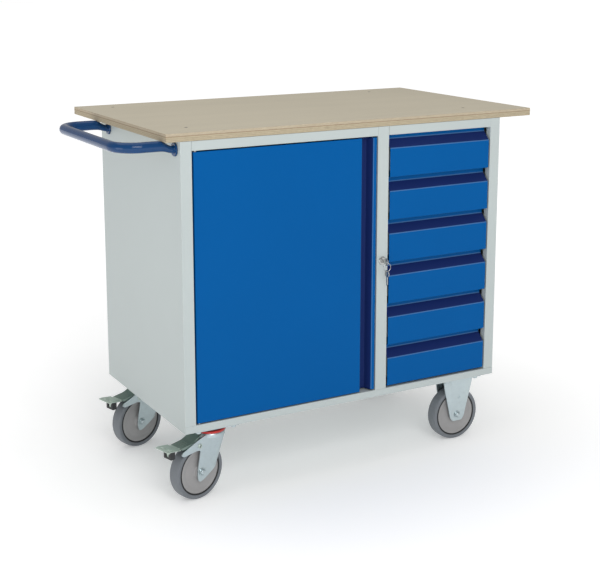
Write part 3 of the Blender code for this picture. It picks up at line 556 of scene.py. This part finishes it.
def pushHandle():
    # a tube drawn in at its ends, dropped to two discs and welded to them
    shape = handleShape
    bm = bmesh.new()
    front, rear = shape["arms"]
    bmesh.ops.create_circle(bm, cap_ends=True, radius=shape["neck"] * mm, segments=32)
    bmesh.ops.rotate(bm, verts=bm.verts, matrix=Matrix.Rotation(math.radians(-90), 3, "Y"))
    bmesh.ops.translate(bm, verts=bm.verts, vec=Vector((shape["start"], front, shape["foot"])) * mm)
    ring = bm.edges[:]

    def extend(edges, centre, radius, tilt):
        fresh, loop = drawOut(bm, edges)
        middle = sum((vert.co for vert in fresh), Vector()) / len(fresh)
        size = (fresh[0].co - middle).length
        bmesh.ops.translate(bm, verts=fresh, vec=-middle)
        # stand the ring square to the arm again, then tilt and size it
        normal = (fresh[0].co).cross(fresh[8].co).normalized()
        arm = Vector((1, 0, 0)) if normal.x > 0 else Vector((-1, 0, 0))
        bmesh.ops.rotate(bm, verts=fresh, matrix=normal.rotation_difference(arm).to_matrix())
        bmesh.ops.scale(bm, verts=fresh, vec=Vector((1, 1, 1)) * radius * mm / size)
        turn = math.radians(tilt)
        bmesh.ops.rotate(bm, verts=fresh, matrix=Matrix.Rotation(turn, 3, "Y"))
        bmesh.ops.translate(bm, verts=fresh, vec=Vector(centre) * mm)
        return loop

    for reach, level, radius, tilt in shape["steps"]:
        ring = extend(ring, (-reach, front, level), radius, tilt)
    bend = shape["bend"]
    turnX = -(shape["reach"] - bend)
    ring = extend(ring, (turnX, front, shape["level"]), shape["tube"], 0)

    def corner(edges, centreY):
        verts = {vert for edge in edges for vert in edge.verts}
        spun = bmesh.ops.spin(bm, geom=list(verts) + edges, steps=shape["bendSteps"], axis=(0, 0, 1),
                              angle=math.radians(-90), cent=Vector((turnX, centreY, shape["level"])) * mm)
        return [item for item in spun["geom_last"] if isinstance(item, bmesh.types.BMEdge)]

    ring = corner(ring, front + bend)
    stretch = (rear - front - 2 * bend) / shape["straightSteps"]
    for _ in range(shape["straightSteps"]):
        fresh, ring = drawOut(bm, ring)
        bmesh.ops.translate(bm, verts=fresh, vec=(0, stretch * mm, 0))
    ring = corner(ring, rear - bend)
    for reach, level, radius, tilt in reversed(shape["steps"]):
        ring = extend(ring, (-reach, rear, level), radius, tilt)
    ring = extend(ring, (shape["start"], rear, shape["foot"]), shape["neck"], 0)
    bmesh.ops.contextual_create(bm, geom=ring)
    bmesh.ops.recalc_face_normals(bm, faces=bm.faces)
    parts = [bm]
    disc = shape["disc"]
    deep = shape["discDepth"]
    for y in (front, rear):
        profile = [(0, -0.3), (disc - 0.6, -0.3), (disc, -0.9), (disc, 1.2 - deep), (disc - 1.2, -deep),
                   (0, -deep)]
        parts.append(turned(profile, "X", 48, (0, y, shape["foot"])))
        thick = shape["bead"]
        section = [(shape["beadReach"] + thick * math.cos(turn), -deep - 0.4 + thick * math.sin(turn))
                   for turn in roundTurns(8, closed=True)]
        bead = turned(section, "X", 72, (0, y, shape["foot"]))
        for vert in bead.verts:  # the weld's ripples
            around = math.atan2(vert.co.z - shape["foot"] * mm, vert.co.y - y * mm)
            vert.co.x -= shape["ripple"] * mm * math.sin(around * shape["ripples"])
        parts.append(bead)
    keep("push_handle_tube", joined(*parts), "handlePaint", "cabinet", ["push_handle"], cabinetPlace)


doorShape = {
    "low": 229.5, "high": 959.5, "left": 37.0, "right": 594.0, "face": 1.0, "flange": 19.0,
    "channelLeft": 545.6, "channelRight": 573.6, "slant": 9.0, "depth": 25.0, "sheet": 1.2, "fold": 2.4,
    "hook": (667.0, 677.0),
}


def darkGrip(piece, inside, onFold):
    # the recessed grips get a painted shade, darker than the faces, and the folds beside them a painted
    # highlight, lighter
    piece.data.materials.append(finish["gripShadePaint"])
    piece.data.materials.append(finish["foldHighlightPaint"])
    for face in piece.data.polygons:
        if onFold(face.center):
            face.material_index = 2
        elif inside(face.center):
            face.material_index = 1


def cupboardDoor():
    shape = doorShape
    face = shape["face"]
    back = face + shape["flange"]
    floor = face + shape["depth"]
    path = [
        (shape["left"], back), (shape["left"], face), (shape["channelLeft"], face),
        (shape["channelLeft"], floor), (shape["channelRight"], floor),
        (shape["channelRight"] + shape["slant"], face), (shape["right"], face), (shape["right"], back),
    ]
    low = shape["low"]
    high = shape["high"]
    sheet = shape["sheet"]
    parts = [bentSheet(path, "Z", low, high, sheet, shape["fold"], (0, -1, 0))]
    for start in (low, high - sheet):
        near = (shape["left"] + 0.7, face + 0.7, start)
        parts.append(block(near, (shape["channelLeft"] - 1.6, back, start + sheet), 0.2, 1))
    # the hook that the lock bar's tab drops in front of
    inner = shape["right"] - 0.6
    stem = shape["right"] - 7.5
    hook = [(inner, 16), (inner, 19.5), (stem + 3, 19.5), (stem + 3, 34), (inner, 34), (inner, 37),
            (stem, 37), (stem, 16)]
    parts.append(slab(hook, "Z", *shape["hook"], 0.3))
    door = keep("cupboard_door_sheet", joined(*parts), "bluePaint", "door", ["door_panel"], cabinetPlace)
    start = spot(shape["channelLeft"] - 0.4, 0, 0).x
    end = spot(shape["channelRight"] + shape["slant"] - 1.4, 0, 0).x
    front = spot(0, face + 1.4, 0).y
    bright = spot(shape["channelRight"] + shape["slant"], face, 0)
    # the channel's walls and floor get the painted shade, the fold at its slanted wall the painted highlight
    darkGrip(door, lambda centre: start < centre.x < end and centre.y > front,
             lambda centre: abs(centre.x - bright.x) < 1.5 * mm and abs(centre.y - bright.y) < 1.2 * mm)


drawerShape = {
    "pitch": 122.4, "top": 963.5, "gap": 4.6, "left": 638.0, "right": 982.0, "face": 82.4,
    "slopeDepth": 25.0, "slopeRise": 24.0, "sheet": 1.2, "fold": 2.6, "returnDepth": 12.0,
}


def drawerFronts():
    shape = drawerShape
    for number in range(1, 7):
        low = shape["top"] - shape["pitch"] * number + shape["gap"] / 2
        slope = low + shape["face"]
        path = [
            (shape["returnDepth"], low), (0, low), (0, slope),
            (shape["slopeDepth"], slope + shape["slopeRise"]),
            (shape["slopeDepth"], low + shape["pitch"] - shape["gap"]),
        ]
        body = "drawer_" + str(number)
        front = bentSheet(path, "X", shape["left"], shape["right"], shape["sheet"], shape["fold"],
                          (0, -1, 0))
        piece = keep(body + "_front_sheet", front, "bluePaint", body, [body + "_front"], cabinetPlace)
        start = (slope + 0.6) * mm
        end = (slope + shape["slopeRise"] - 0.6) * mm
        folds = [spot(0, 0, slope), spot(0, shape["slopeDepth"], slope + shape["slopeRise"])]
        # the slope gets the painted shade, its two folds the painted highlight
        darkGrip(piece, lambda centre: start < centre.z < end,
                 lambda centre: any(Vector((0, centre.y - fold.y, centre.z - fold.z)).length < 1.5 * mm
                                    for fold in folds))
        keep(body + "_box_steel", softened(cadCopy(body + "_box"), 0.9), "greyPaint", body, [body + "_box"])


lockShape = {
    "x": 615.0, "z": 607.0, "rosette": 12.0, "barrel": 9.0, "plug": 5.7, "bore": 6.3,
    "pinReach": 8.0, "bow": 11.0, "ringHole": 2.6, "cuts": 6, "wire": 0.8,
}


def keyShape(length):
    # a flat key in the XZ plane: round bow at the origin, ring hole, cut blade down -Z
    radius = lockShape["bow"]
    bow = [(radius * math.sin(turn), radius * math.cos(turn)) for turn in roundTurns(32)]
    plate = slab(bow, "Y", -1.1, 1.1, 0.35, 0.0, 2)
    bore = lockShape["ringHole"]
    hole = turned([(0, -3), (bore, -3), (bore, 3), (0, 3)], "Y", 24, (0, 0, 5.5))
    plate = carve(plate, hole)
    tip = -radius - length
    blade = [(-3.4, -9), (3.4, -9), (3.4, -14), (2.9, -14)]
    cuts = lockShape["cuts"]
    for step in range(cuts):  # the bitting along one side
        z = -15 - (length - 5) * step / cuts
        blade += [(2.9, z), (1.5 + 0.5 * (step % 3), z - 1.2), (2.9, z - 2.4)]
    blade += [(0.6, tip), (-1.2, tip), (-3.0, tip + 2.5)]
    shank = slab(blade, "Y", -1.0, 1.0, 0.2, 0.0, 1)
    groove = block((-1.6, -1.4, tip + 1), (-0.4, -0.5, -12), 0)
    rim = turned([(8.6, -1.35), (9.4, -1.35), (9.4, 1.35), (8.6, 1.35), (8.6, -1.35)], "Y", 32)
    return joined(plate, carve(shank, groove), rim)


def cylinderLock():
    shape = lockShape
    centre = spot(shape["x"], 0, shape["z"])
    place = Matrix.Translation(centre)
    rosette = shape["rosette"]
    profile = [
        (shape["bore"], -3.0), (rosette - 3.0, -3.0), (rosette - 1.2, -2.4), (rosette - 0.3, -1.3),
        (rosette, -0.3), (shape["barrel"], -0.3), (shape["barrel"], 22), (shape["bore"], 22),
        (shape["bore"], -3.0),
    ]
    barrel = turned(profile, "Y", 48)
    keep("lock_barrel_and_rosette", barrel, "lockNickel", "cabinet", ["lock_housing"], place)
    plug = shape["plug"]
    face = turned([(0, -2.7), (plug - 0.5, -2.7), (plug, -2.2), (plug, 23), (0, 23)], "Y", 40)
    face = carve(face, block((-1.4, -6, -4), (1.4, 16, 4), 0))
    corner = shape["pinReach"] * math.sin(math.pi / 4)
    outline = [(4, -4), (4, 4), (-4, 4), (-corner - 3, -corner), (-corner, -corner - 3)]
    cam = slab(outline, "Y", 22.3, 24.8, 0.3)
    pin = turned([(0, 24), (2, 24), (2, 31.6), (1.5, 32.1), (0, 32.1)], "Y", 24, (-corner, 0, -corner))
    keep("lock_plug_and_cam", joined(face, cam, pin), "lockNickel", "lock_plug", ["lock_plug"], place)
    # the key stands in the plug with its bow's plane upright
    upright = Matrix.Rotation(math.radians(90), 4, "Z")
    along = Matrix.Rotation(math.radians(90), 4, "X")
    keyed = keyShape(22)
    keep("lock_key_cut", keyed, "lockNickel", "lock_plug", ["lock_key"],
         place @ Matrix.Translation((0, -20 * mm, 0)) @ along @ upright)
    low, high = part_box("key_ring")
    ringCentre = (low + high) / 2
    thick = shape["wire"]
    reach = (high.z - low.z) / 2 / mm - thick
    wire = [(reach + thick * math.cos(turn), thick * math.sin(turn)) for turn in roundTurns(10, closed=True)]
    keep("key_ring_wire", turned(wire, "Y", 64), "lockNickel", "key_ring", ["key_ring"],
         Matrix.Translation(ringCentre))
    low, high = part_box("spare_key")
    hang = Matrix.Translation((ringCentre.x, ringCentre.y, high.z - shape["bow"] * mm))
    keep("spare_key_cut", keyShape(24), "lockNickel", "key_ring", ["spare_key"], hang @ upright)


wheelShape = {"radius": 80.0, "width": 37.0, "tread": 13.0, "hub": 22.0, "axle": 6.3, "crown": 4.6}


def wheelPieces(name, body, place):
    shape = wheelShape
    radius = shape["radius"]
    half = shape["width"] / 2
    inner = radius - shape["tread"]
    # tyre: crowned tread, round shoulders, a lip over the rim
    tread = [(inner, 3.6 - half), (inner + 1.0, 1.6 - half)]
    tread += [(inner + 3.4, 0.9 - half), (inner + 7.4, 0.3 - half)]
    for step in range(9):
        turn = math.radians(-80 + 20 * step)
        side = math.sin(turn)
        reach = radius - shape["crown"] * (1 - math.cos(turn) ** 0.8)
        tread.append((reach, (half - 0.2) * math.copysign(abs(side) ** 0.55, side)))
    tread += [(inner + 7.4, half - 0.3), (inner + 3.4, half - 0.9), (inner + 1.0, half - 1.6)]
    tread += [(inner, half - 3.6), (inner, 3.6 - half)]
    tyre = turned(tread, "Y", 96)
    keep(name + "_tyre_rubber", tyre, "greyTyre", body, [name + "_tyre"], place)
    # a black ring set in the joint between core and tyre: partly the joint's dark line, partly painted shade
    # for the deep gap there
    ring = []
    for sign in (-1, 1):
        profile = [(inner - 4.0, sign * (half - 3.4)), (inner - 3.4, sign * (half - 1.7)),
                   (inner + 0.6, sign * (half - 1.2)), (inner + 1.2, sign * (half - 3.6)),
                   (inner - 4.0, sign * (half - 3.4))]
        ring.append(turned(profile, "Y", 96))
    keep(name + "_rim_seal", joined(*ring), "blackJointShade", body, (), place)
    # core: rim bead, dished disc with stepped hub
    face = [(shape["axle"], shape["hub"]), (15.6, shape["hub"]), (17.0, shape["hub"] - 1.2),
            (17.6, half - 0.8), (19.6, half - 2.6), (24, half - 3.4), (44, half - 5.0), (50, half - 5.2),
            (53, half - 4.2), (56, half - 2.8), (inner - 3.4, half - 2.6), (inner - 0.4, half - 3.2)]
    profile = [(r, -y) for r, y in face] + [(r, y) for r, y in reversed(face)]
    core = turned(profile + profile[:1], "Y", 96)
    keep(name + "_core_disc", core, "wheelPlastic", body, [name + "_wheel_core"], place)


def nut(across, height, axis, centre):
    # hexagon with its corners turned off
    bm = bmesh.new()
    bmesh.ops.create_cone(bm, cap_ends=True, segments=6, radius1=across / math.sqrt(3) * mm,
                          radius2=across / math.sqrt(3) * mm, depth=height * mm)
    roundEdges(bm, outerEdges(bm, 50.0), min(height, across) * 0.09, 2)
    turn = {"X": ("Y", 90), "Y": ("X", 90), "Z": ("Z", 0)}[axis]
    bmesh.ops.rotate(bm, verts=bm.verts, matrix=Matrix.Rotation(math.radians(turn[1]), 3, turn[0]))
    bmesh.ops.translate(bm, verts=bm.verts, vec=Vector(centre) * mm)
    return bm


def washer(outer, thickness, axis, centre, bore=0.0):
    half = thickness / 2
    profile = [(bore, -half), (outer - 0.3, -half), (outer, 0.3 - half), (outer, half - 0.3),
               (outer - 0.3, half), (bore, half)]
    if bore:
        profile.append(profile[0])
    return turned(profile, axis, 32, centre)


axleShape = {"half": 26.8, "flange": 11.2, "dome": 7.4, "nut": 16.6, "thread": 3.9}


def axlePiece(name, body, place):
    # a domed bolt through the fork, a hexagon nut on its far end
    shape = axleShape
    outer = shape["half"]
    flange = shape["flange"]
    dome = shape["dome"]
    shaft = turned([(0, 0.4 - outer), (6, 0.4 - outer), (6, outer - 0.4), (0, outer - 0.4)], "Y", 32)
    head = turned([(0, -outer), (flange - 0.4, -outer), (flange, -outer - 0.5), (flange, -outer - 1.6),
                   (flange - 0.7, -outer - 2.2), (dome + 1.6, -outer - 2.0), (dome + 0.5, -outer - 0.9),
                   (dome, -outer - 0.9), (dome, -outer - 2.6), (dome - 0.5, -outer - 3.8),
                   (dome - 1.9, -outer - 4.9), (dome - 4.2, -outer - 5.6), (0, -outer - 5.9)], "Y", 40)
    far = [washer(10.3, 1.4, "Y", (0, outer + 0.7, 0)), nut(shape["nut"], 3.7, "Y", (0, outer + 3.3, 0)),
           turned([(0, outer + 5), (shape["thread"], outer + 5), (shape["thread"], outer + 5.8),
                   (3.4, outer + 6), (0, outer + 6)], "Y", 24)]
    keep(name + "_axle_bolt", joined(shaft, head, *far), "zincPlate", body, [name + "_axle"], place)


plateShape = {"x": 67.5, "y": 55.0, "high": 204.7, "thick": 4.0, "boltX": 52.5, "boltY": 40.0}


def topPlate():
    # the plate with its four bolts, around the caster's vertical axis
    shape = plateShape
    low = shape["high"] - shape["thick"]
    x = shape["x"]
    y = shape["y"]
    parts = [slab([(-x, -y), (x, -y), (x, y), (-x, y)], "Z", low, shape["high"], 0.5, 8.0)]
    for signX in (-1, 1):
        for signY in (-1, 1):
            centre = (signX * shape["boltX"], signY * shape["boltY"])
            parts.append(washer(8.5, 1.6, "Z", (*centre, low - 0.8)))
            parts.append(nut(13, 6.2, "Z", (*centre, low - 4.7)))
            stub = [(0, -1.2), (3.2, -1.2), (4, -0.5), (4, 1.5), (0, 1.5)]
            parts.append(turned(stub, "Z", 24, (*centre, low - 8.2)))
    return parts


forkShape = {
    "inner": 23.0, "outer": 26.5, "front": 44.0, "frontTop": 178.0, "lean": 0.4, "fold": 17.0,
    "side": [(46, 181), (40, 166), (9, 90), (-2, 83), (-44, 58), (-57, 53.5), (-64, 58), (-66, 72),
             (-64, 95), (-57, 132), (-55, 142), (-66, 145), (-112, 139.5), (-120, 145), (-116, 152),
             (-82, 166), (-58, 175), (-38, 181)],
    "wheelSlot": (19.6, 131.0), "turn": 15.0, "trail": 50.0, "pivot": (-57.0, 156.0),
    "x": 100.0, "back": -110.0, "sheet": (48.0, 183.0),
    # turned profiles round the king pin: ball race, pin, red seal and dished crown
    "race": [(8.4, 180.5), (25, 180.5), (27, 181.6), (27, 190), (29.5, 193), (33, 197), (33.5, 200.9),
             (8.4, 200.9), (8.4, 180.5)],
    "pin": [(0, 166.2), (10, 166.2), (12.6, 167.2), (13, 168.4), (13, 169.4), (8, 169.7), (8, 201),
            (0, 201)],
    "seal": [(34.5, 184.2), (42.2, 184.2), (43.4, 185.6), (43.4, 189.2), (42.2, 190.4), (34.5, 190.4),
             (34.5, 184.2)],
    "crown": [(8.4, 170.2), (14, 170.2), (16, 173), (24, 176.4), (37, 176.4), (38.5, 172), (41.6, 172),
              (41.6, 180), (39.2, 183.8), (30, 184), (28.2, 180), (8.4, 180), (8.4, 170.2)],
}


def swivelFork():
    # one sheet wrapped round the front and leaned back, cut to its side outline, and the
    # dished crown that closes it
    shape = forkShape
    out = shape["outer"]
    front = shape["front"]
    back = shape["back"]
    sheet = bentSheet([(back, -out), (front, -out), (front, out), (back, out)], "Z", *shape["sheet"],
                      out - shape["inner"], shape["fold"], (1, 0, 0))
    for vert in sheet.verts:
        vert.co.x -= (shape["frontTop"] * mm - vert.co.z) * shape["lean"]
    sheet = carve(sheet, slab(shape["side"], "Y", -out - 5, out + 5, 0, 3.4), operation="INTERSECT")
    slotHalf, slotTop = shape["wheelSlot"]
    slot = [(-slotHalf, 40), (slotHalf, 40), (slotHalf, slotTop), (-slotHalf, slotTop)]
    sheet = carve(sheet, slab(slot, "X", -55, 60, 0, 12.0))
    roundEdges(sheet, outerEdges(sheet, 55.0), 0.7, 2)
    return joined(turned(shape["crown"], "Z", 64), sheet)


def swivelCaster(side, y):
    shape = forkShape
    stand = Matrix.Translation(spot(shape["x"], y, 0))
    leaned = stand @ Matrix.Rotation(math.radians(shape["turn"]), 4, "Z")
    body = side + "_swivel"
    name = side + "_swivel"
    parts = topPlate() + [turned(shape["race"], "Z", 64), turned(shape["pin"], "Z", 40)]
    keep(name + "_plate_zinc", joined(*parts), "zincPlate", "cabinet", [name + "_plate"], stand)
    keep(name + "_race_seal", turned(shape["seal"], "Z", 72), "redSeal", body, (), stand)
    keep(name + "_fork_zinc", swivelFork(), "zincPlate", body, [name + "_fork"], leaned)
    wheelCentre = leaned @ Matrix.Translation(Vector((-shape["trail"], 0, 80)) * mm)
    axlePiece(name, body, wheelCentre)
    wheelPieces(name, side + "_swivel_wheel", wheelCentre)
    pivotX, pivotZ = shape["pivot"]
    brakePedal(side, leaned @ Matrix.Translation(Vector((pivotX, 0, pivotZ)) * mm))


pedalShape = {
    "profile": [(9, 29), (-4, 23), (-20, 13), (-62, 7.5), (-102, 12.5), (-107.5, 9.5)],
    "sheet": 2.0, "fold": 3.0,
    "halfWidth": 29.0, "neckHalf": 22.4, "neckEnd": -64.0, "roll": 1.9,
    "ear": [(6, -5), (7, 3), (3, 20), (-6, 21), (-16, 12), (-58, 6), (-58, 2), (-16, 2.5), (-5, -5),
            (0, -7)],
    "slots": [(-97.5, -14), (-97.5, 14), (-65, -23), (-65, 23)], "slotHalf": (2.2, 7.0),
    "ribs": (-30, -38, -46, -54),
    "rib": [(0, -15), (0.9, -14.6), (1.6, -13), (1.6, 13), (0.9, 14.6), (0, 15)],
    "rivet": [(0, 20), (4, 20), (4, 26.7), (6.4, 26.9), (6.6, 27.6), (5.6, 28.8), (4.4, 29.2), (3.5, 28.6),
              (3.2, 27.4), (3.2, 22.5), (0, 22.5)],
    "panel": [(-94, -20), (-69, -20), (-69, 20), (-94, 20)],
    "panelX": -81.5, "panelTilt": 0.124, "panelRise": 10.2,
    "clipX": (-92.0, -76.0), "clipHalf": 15.0, "clipLow": -19.0,
}


def pedalPlate():
    # the pressed sheet, narrow at its neck, with four slots in its tread
    shape = pedalShape
    half = shape["halfWidth"]
    neck = shape["neckHalf"]
    end = shape["neckEnd"]
    plate = bentSheet(shape["profile"], "Y", -half, half, shape["sheet"], shape["fold"], (0, 0, 1))
    cutters = [block((end, low, -20), (30, high, 50), 0)
               for low, high in ((-half - 5, -neck), (neck, half + 5))]
    wide, long = shape["slotHalf"]
    for x, y in shape["slots"]:
        outline = [(x - wide, y - long), (x + wide, y - long), (x + wide, y + long), (x - wide, y + long)]
        cutters.append(slab(outline, "Z", -10, 40, 0, 2.0))
    plate = carve(plate, *cutters)
    roundEdges(plate, outerEdges(plate, 60.0), 0.35, 1)
    return plate


def brakePedal(side, place):
    # foot pedal: a neck between the fork's arms that widens to a tread with ribs and a rolled
    # toe; its pivot rivets; the plastic clip under it
    shape = pedalShape
    half = shape["halfWidth"]
    neck = shape["neckHalf"]
    parts = [pedalPlate()]
    roll = shape["roll"]
    toeX, toeZ = shape["profile"][-1]
    bead = [(0, -half), (roll - 0.6, -half), (roll, 0.6 - half), (roll, half - 0.6), (roll - 0.6, half),
            (0, half)]
    parts.append(turned(bead, "Y", 16, (toeX + 0.6, 0, toeZ + 0.4)))
    for start, end in ((-neck - 0.1, 2 - neck), (neck - 2, neck + 0.1)):
        parts.append(slab(shape["ear"], "Y", start, end, 0.4, 1.2))
    # a raised panel on the tread
    panel = slab(shape["panel"], "Z", -1.0, 1.1, 0.5, 4.0)
    bmesh.ops.rotate(panel, verts=panel.verts, cent=(shape["panelX"] * mm, 0, 0),
                     matrix=Matrix.Rotation(shape["panelTilt"], 3, "Y"))
    bmesh.ops.translate(panel, verts=panel.verts, vec=(0, 0, shape["panelRise"] * mm))
    parts.append(panel)
    for x in shape["ribs"]:  # pressed ribs across the neck
        rib = turned(shape["rib"], "Y", 16)
        height = 13 - (x + 20) / -42 * 5.5
        bmesh.ops.translate(rib, verts=rib.verts, vec=Vector((x, 0, height - 0.4)) * mm)
        parts.append(rib)
    for sign in (-1, 1):  # hollow rivets
        rivet = turned(shape["rivet"], "Y", 32)
        if sign < 0:
            bmesh.ops.rotate(rivet, verts=rivet.verts, matrix=Matrix.Rotation(math.pi, 3, "Z"))
        parts.append(rivet)
    start, end = shape["clipX"]
    parts.append(block((start + 2, -4.5, shape["clipLow"] + 6), (start + 3.5, 4.5, 8), 0.3))
    body = side + "_brake"
    stands = [side + "_brake_pedal"]
    pedal = keep(side + "_brake_pedal_zinc", joined(*parts), "pedalZinc", body, stands, place)
    # the neck gets a painted shade, darker than the tread, and the hollow rivets get a painted shade in
    # their hollows
    pedal.data.materials.append(finish["neckShadeZinc"])
    pedal.data.materials.append(finish["darkScrewAndHollowShade"])
    back = place.inverted()
    for face in pedal.data.polygons:
        centre = back @ face.center
        # faces inside the rivets' hollows: painted shade
        deep = math.hypot(centre.x, centre.z) < 3.4 * mm and abs(centre.y) > 21 * mm
        onNeck = centre.x > (shape["neckEnd"] + 2) * mm and abs(centre.y) < (neck + 0.3) * mm
        if deep:
            face.material_index = 2
        elif onNeck:
            face.material_index = 1
    wide = shape["clipHalf"]
    low = shape["clipLow"]
    outer = slab([(start, low), (end, low), (end, 5.4), (start, 9.4)], "Y", -wide, wide, 0.9, 3.0)
    inside = block((start + 4.5, 4.5 - wide, low + 5), (end + 5, wide - 4.5, 3.5), 0.0)
    window = block((start - 5, -6.2, low + 6), (start + 12, 6.2, 3), 0.0)
    clip = carve(outer, inside, window)
    keep(side + "_pedal_clip", clip, "blackPlastic", body, [side + "_pedal_tip"], place)


fixedForkShape = {
    "x": 919.0, "inner": 23.0, "outer": 26.5, "fold": 5.0, "leg": (55.0, 202.0), "dimple": (3, 136),
    "side": [(-51, 200.9), (62, 200.9), (56, 182), (31, 100), (25, 74), (16, 61), (-16, 61), (-26, 72),
             (-31, 96), (-43, 150), (-48, 185)],
    "plan": [(-54, -21.6), (-29, -26.5), (35, -26.5), (66, -20.5)],
}


casterRows = {"front": 62.0, "rear": 490.0}


def fixedCaster(side, y):
    # two folded legs under a plate, each with a pressed dimple above the axle
    shape = fixedForkShape
    stand = Matrix.Translation(spot(shape["x"], y, 0))
    name = side + "_fixed"
    parts = topPlate()
    out = shape["outer"]
    dimpleX, dimpleZ = shape["dimple"]
    for sign in (-1, 1):
        plan = [(x, -sign * wide) for x, wide in shape["plan"]]
        leg = bentSheet(plan, "Z", *shape["leg"], out - shape["inner"], shape["fold"], (0, sign, 0))
        leg = carve(leg, slab(shape["side"], "Y", -out - 5, out + 5, 0, 4.0), operation="INTERSECT")
        ends = sorted((sign * (out - 1.2), sign * (out + 5)))
        dimple = [(0, ends[0]), (3.6, ends[0]), (5, ends[1]), (0, ends[1])]
        leg = carve(leg, turned(dimple, "Y", 24, (dimpleX, 0, dimpleZ)))
        roundEdges(leg, outerEdges(leg, 55.0), 0.7, 2)
        parts.append(leg)
    keep(name + "_fork_zinc", joined(*parts), "zincPlate", "cabinet", [name + "_fork"], stand)
    wheelCentre = stand @ Matrix.Translation((0, 0, 80 * mm))
    axlePiece(name, "cabinet", wheelCentre)
    wheelPieces(name, name + "_wheel", wheelCentre)


cabinetShell()
print("cabinet panels done")
worktopBoard()
pushHandle()
print("worktop and handle done")
cupboardDoor()
drawerFronts()
print("door and drawers done")
cylinderLock()
print("lock and keys done")
for side, casterY in casterRows.items():
    swivelCaster(side, casterY)
    fixedCaster(side, casterY)
print("casters done")


studioLooks = {
    "floor": (0.93, 0.93, 0.93), "floorGlow": (0.19, 0.62), "backdrop": 1.0, "worldStrength": 0.46,
    "lens": 73.85, "shiftX": 0.002, "shiftY": -0.14, "turn": 29.318, "down": 11.06,
    "cameraPlace": (-1247.4, -2834.9, 1437.1),
    # each softbox: place, size, power, and the point it looks at
    "softboxes": {
        "keySoftbox": ((-0.9, -3.8, 2.8), 2.4, 72.0, (0.0, 0.0, 0.6)),
        "topSoftbox": ((-0.4, 0.4, 3.8), 3.0, 24.0, (0.0, 0.0, 0.5)),
        "leftSoftbox": ((-3.4, -0.8, 0.5), 1.6, 15.0, (-0.4, 0.0, 0.75)),
    },
}


def studioFloor():
    looks = studioLooks
    bm = bmesh.new()
    bmesh.ops.create_grid(bm, x_segments=2, y_segments=2, size=40.0)
    floorMesh = bpy.data.meshes.new("studio_floor")
    bm.to_mesh(floorMesh)
    bm.free()
    floor = bpy.data.objects.new("studio_floor", floorMesh)
    bpy.context.scene.collection.objects.link(floor)
    recipe = Recipe("floorPaper", {"Roughness": 0.9, "Specular IOR Level": 0.1, "Emission Strength": 1.0})
    # a faint glow that grows away from the middle, so the paper meets the backdrop unseen
    reach = recipe.node("ShaderNodeVectorMath", {"operation": "LENGTH"}, {0: recipe.place}, "Value")
    near, far = looks["floorGlow"]
    stops = [(0.08, (near,) * 3), (0.3, (0.5 * near + 0.5 * far,) * 3), (0.7, (far,) * 3)]
    recipe.feed("Emission Color", recipe.ramp(reach * 0.25, stops))
    grain = recipe.noise(3.0, 2.0)
    recipe.feed("Base Color", recipe.colours(grain, shade(looks["floor"], 0.985), looks["floor"]))
    floorMesh.materials.append(recipe.material)


def studioWorld():
    # the backdrop shows plain white but lights the object less
    world = bpy.data.worlds.new("studio_world")
    world.use_nodes = True
    backdrop = world.node_tree.nodes["Background"]
    backdrop.inputs["Color"].default_value = (1.0, 1.0, 1.0, 1.0)
    seen = world.node_tree.nodes.new("ShaderNodeLightPath")
    level = world.node_tree.nodes.new("ShaderNodeMapRange")
    level.inputs["To Min"].default_value = studioLooks["worldStrength"]
    level.inputs["To Max"].default_value = studioLooks["backdrop"]
    world.node_tree.links.new(seen.outputs["Is Camera Ray"], level.inputs["Value"])
    world.node_tree.links.new(level.outputs["Result"], backdrop.inputs["Strength"])
    bpy.context.scene.world = world


def studioLights():
    for name, (place, size, power, target) in studioLooks["softboxes"].items():
        lamp = bpy.data.lights.new(name, "AREA")
        lamp.shape = "SQUARE"
        lamp.size = size
        lamp.energy = power
        holder = bpy.data.objects.new(name, lamp)
        holder.location = place
        holder.rotation_euler = (Vector(target) - Vector(place)).to_track_quat("-Z", "Y").to_euler()
        bpy.context.scene.collection.objects.link(holder)


def studioCamera():
    looks = studioLooks
    camera = bpy.data.objects.new("studio_camera", bpy.data.cameras.new("studio_camera"))
    camera.data.lens = looks["lens"]
    camera.data.shift_x = looks["shiftX"]
    camera.data.shift_y = looks["shiftY"]
    camera.data.clip_end = 100.0
    camera.location = spot(*looks["cameraPlace"])
    camera.rotation_euler = (math.radians(90 - looks["down"]), 0, math.radians(-looks["turn"]))
    bpy.context.scene.collection.objects.link(camera)
    bpy.context.scene.camera = camera
    bpy.context.scene.view_settings.view_transform = "Standard"


studioFloor()
studioWorld()
studioLights()
studioCamera()
print("studio done")
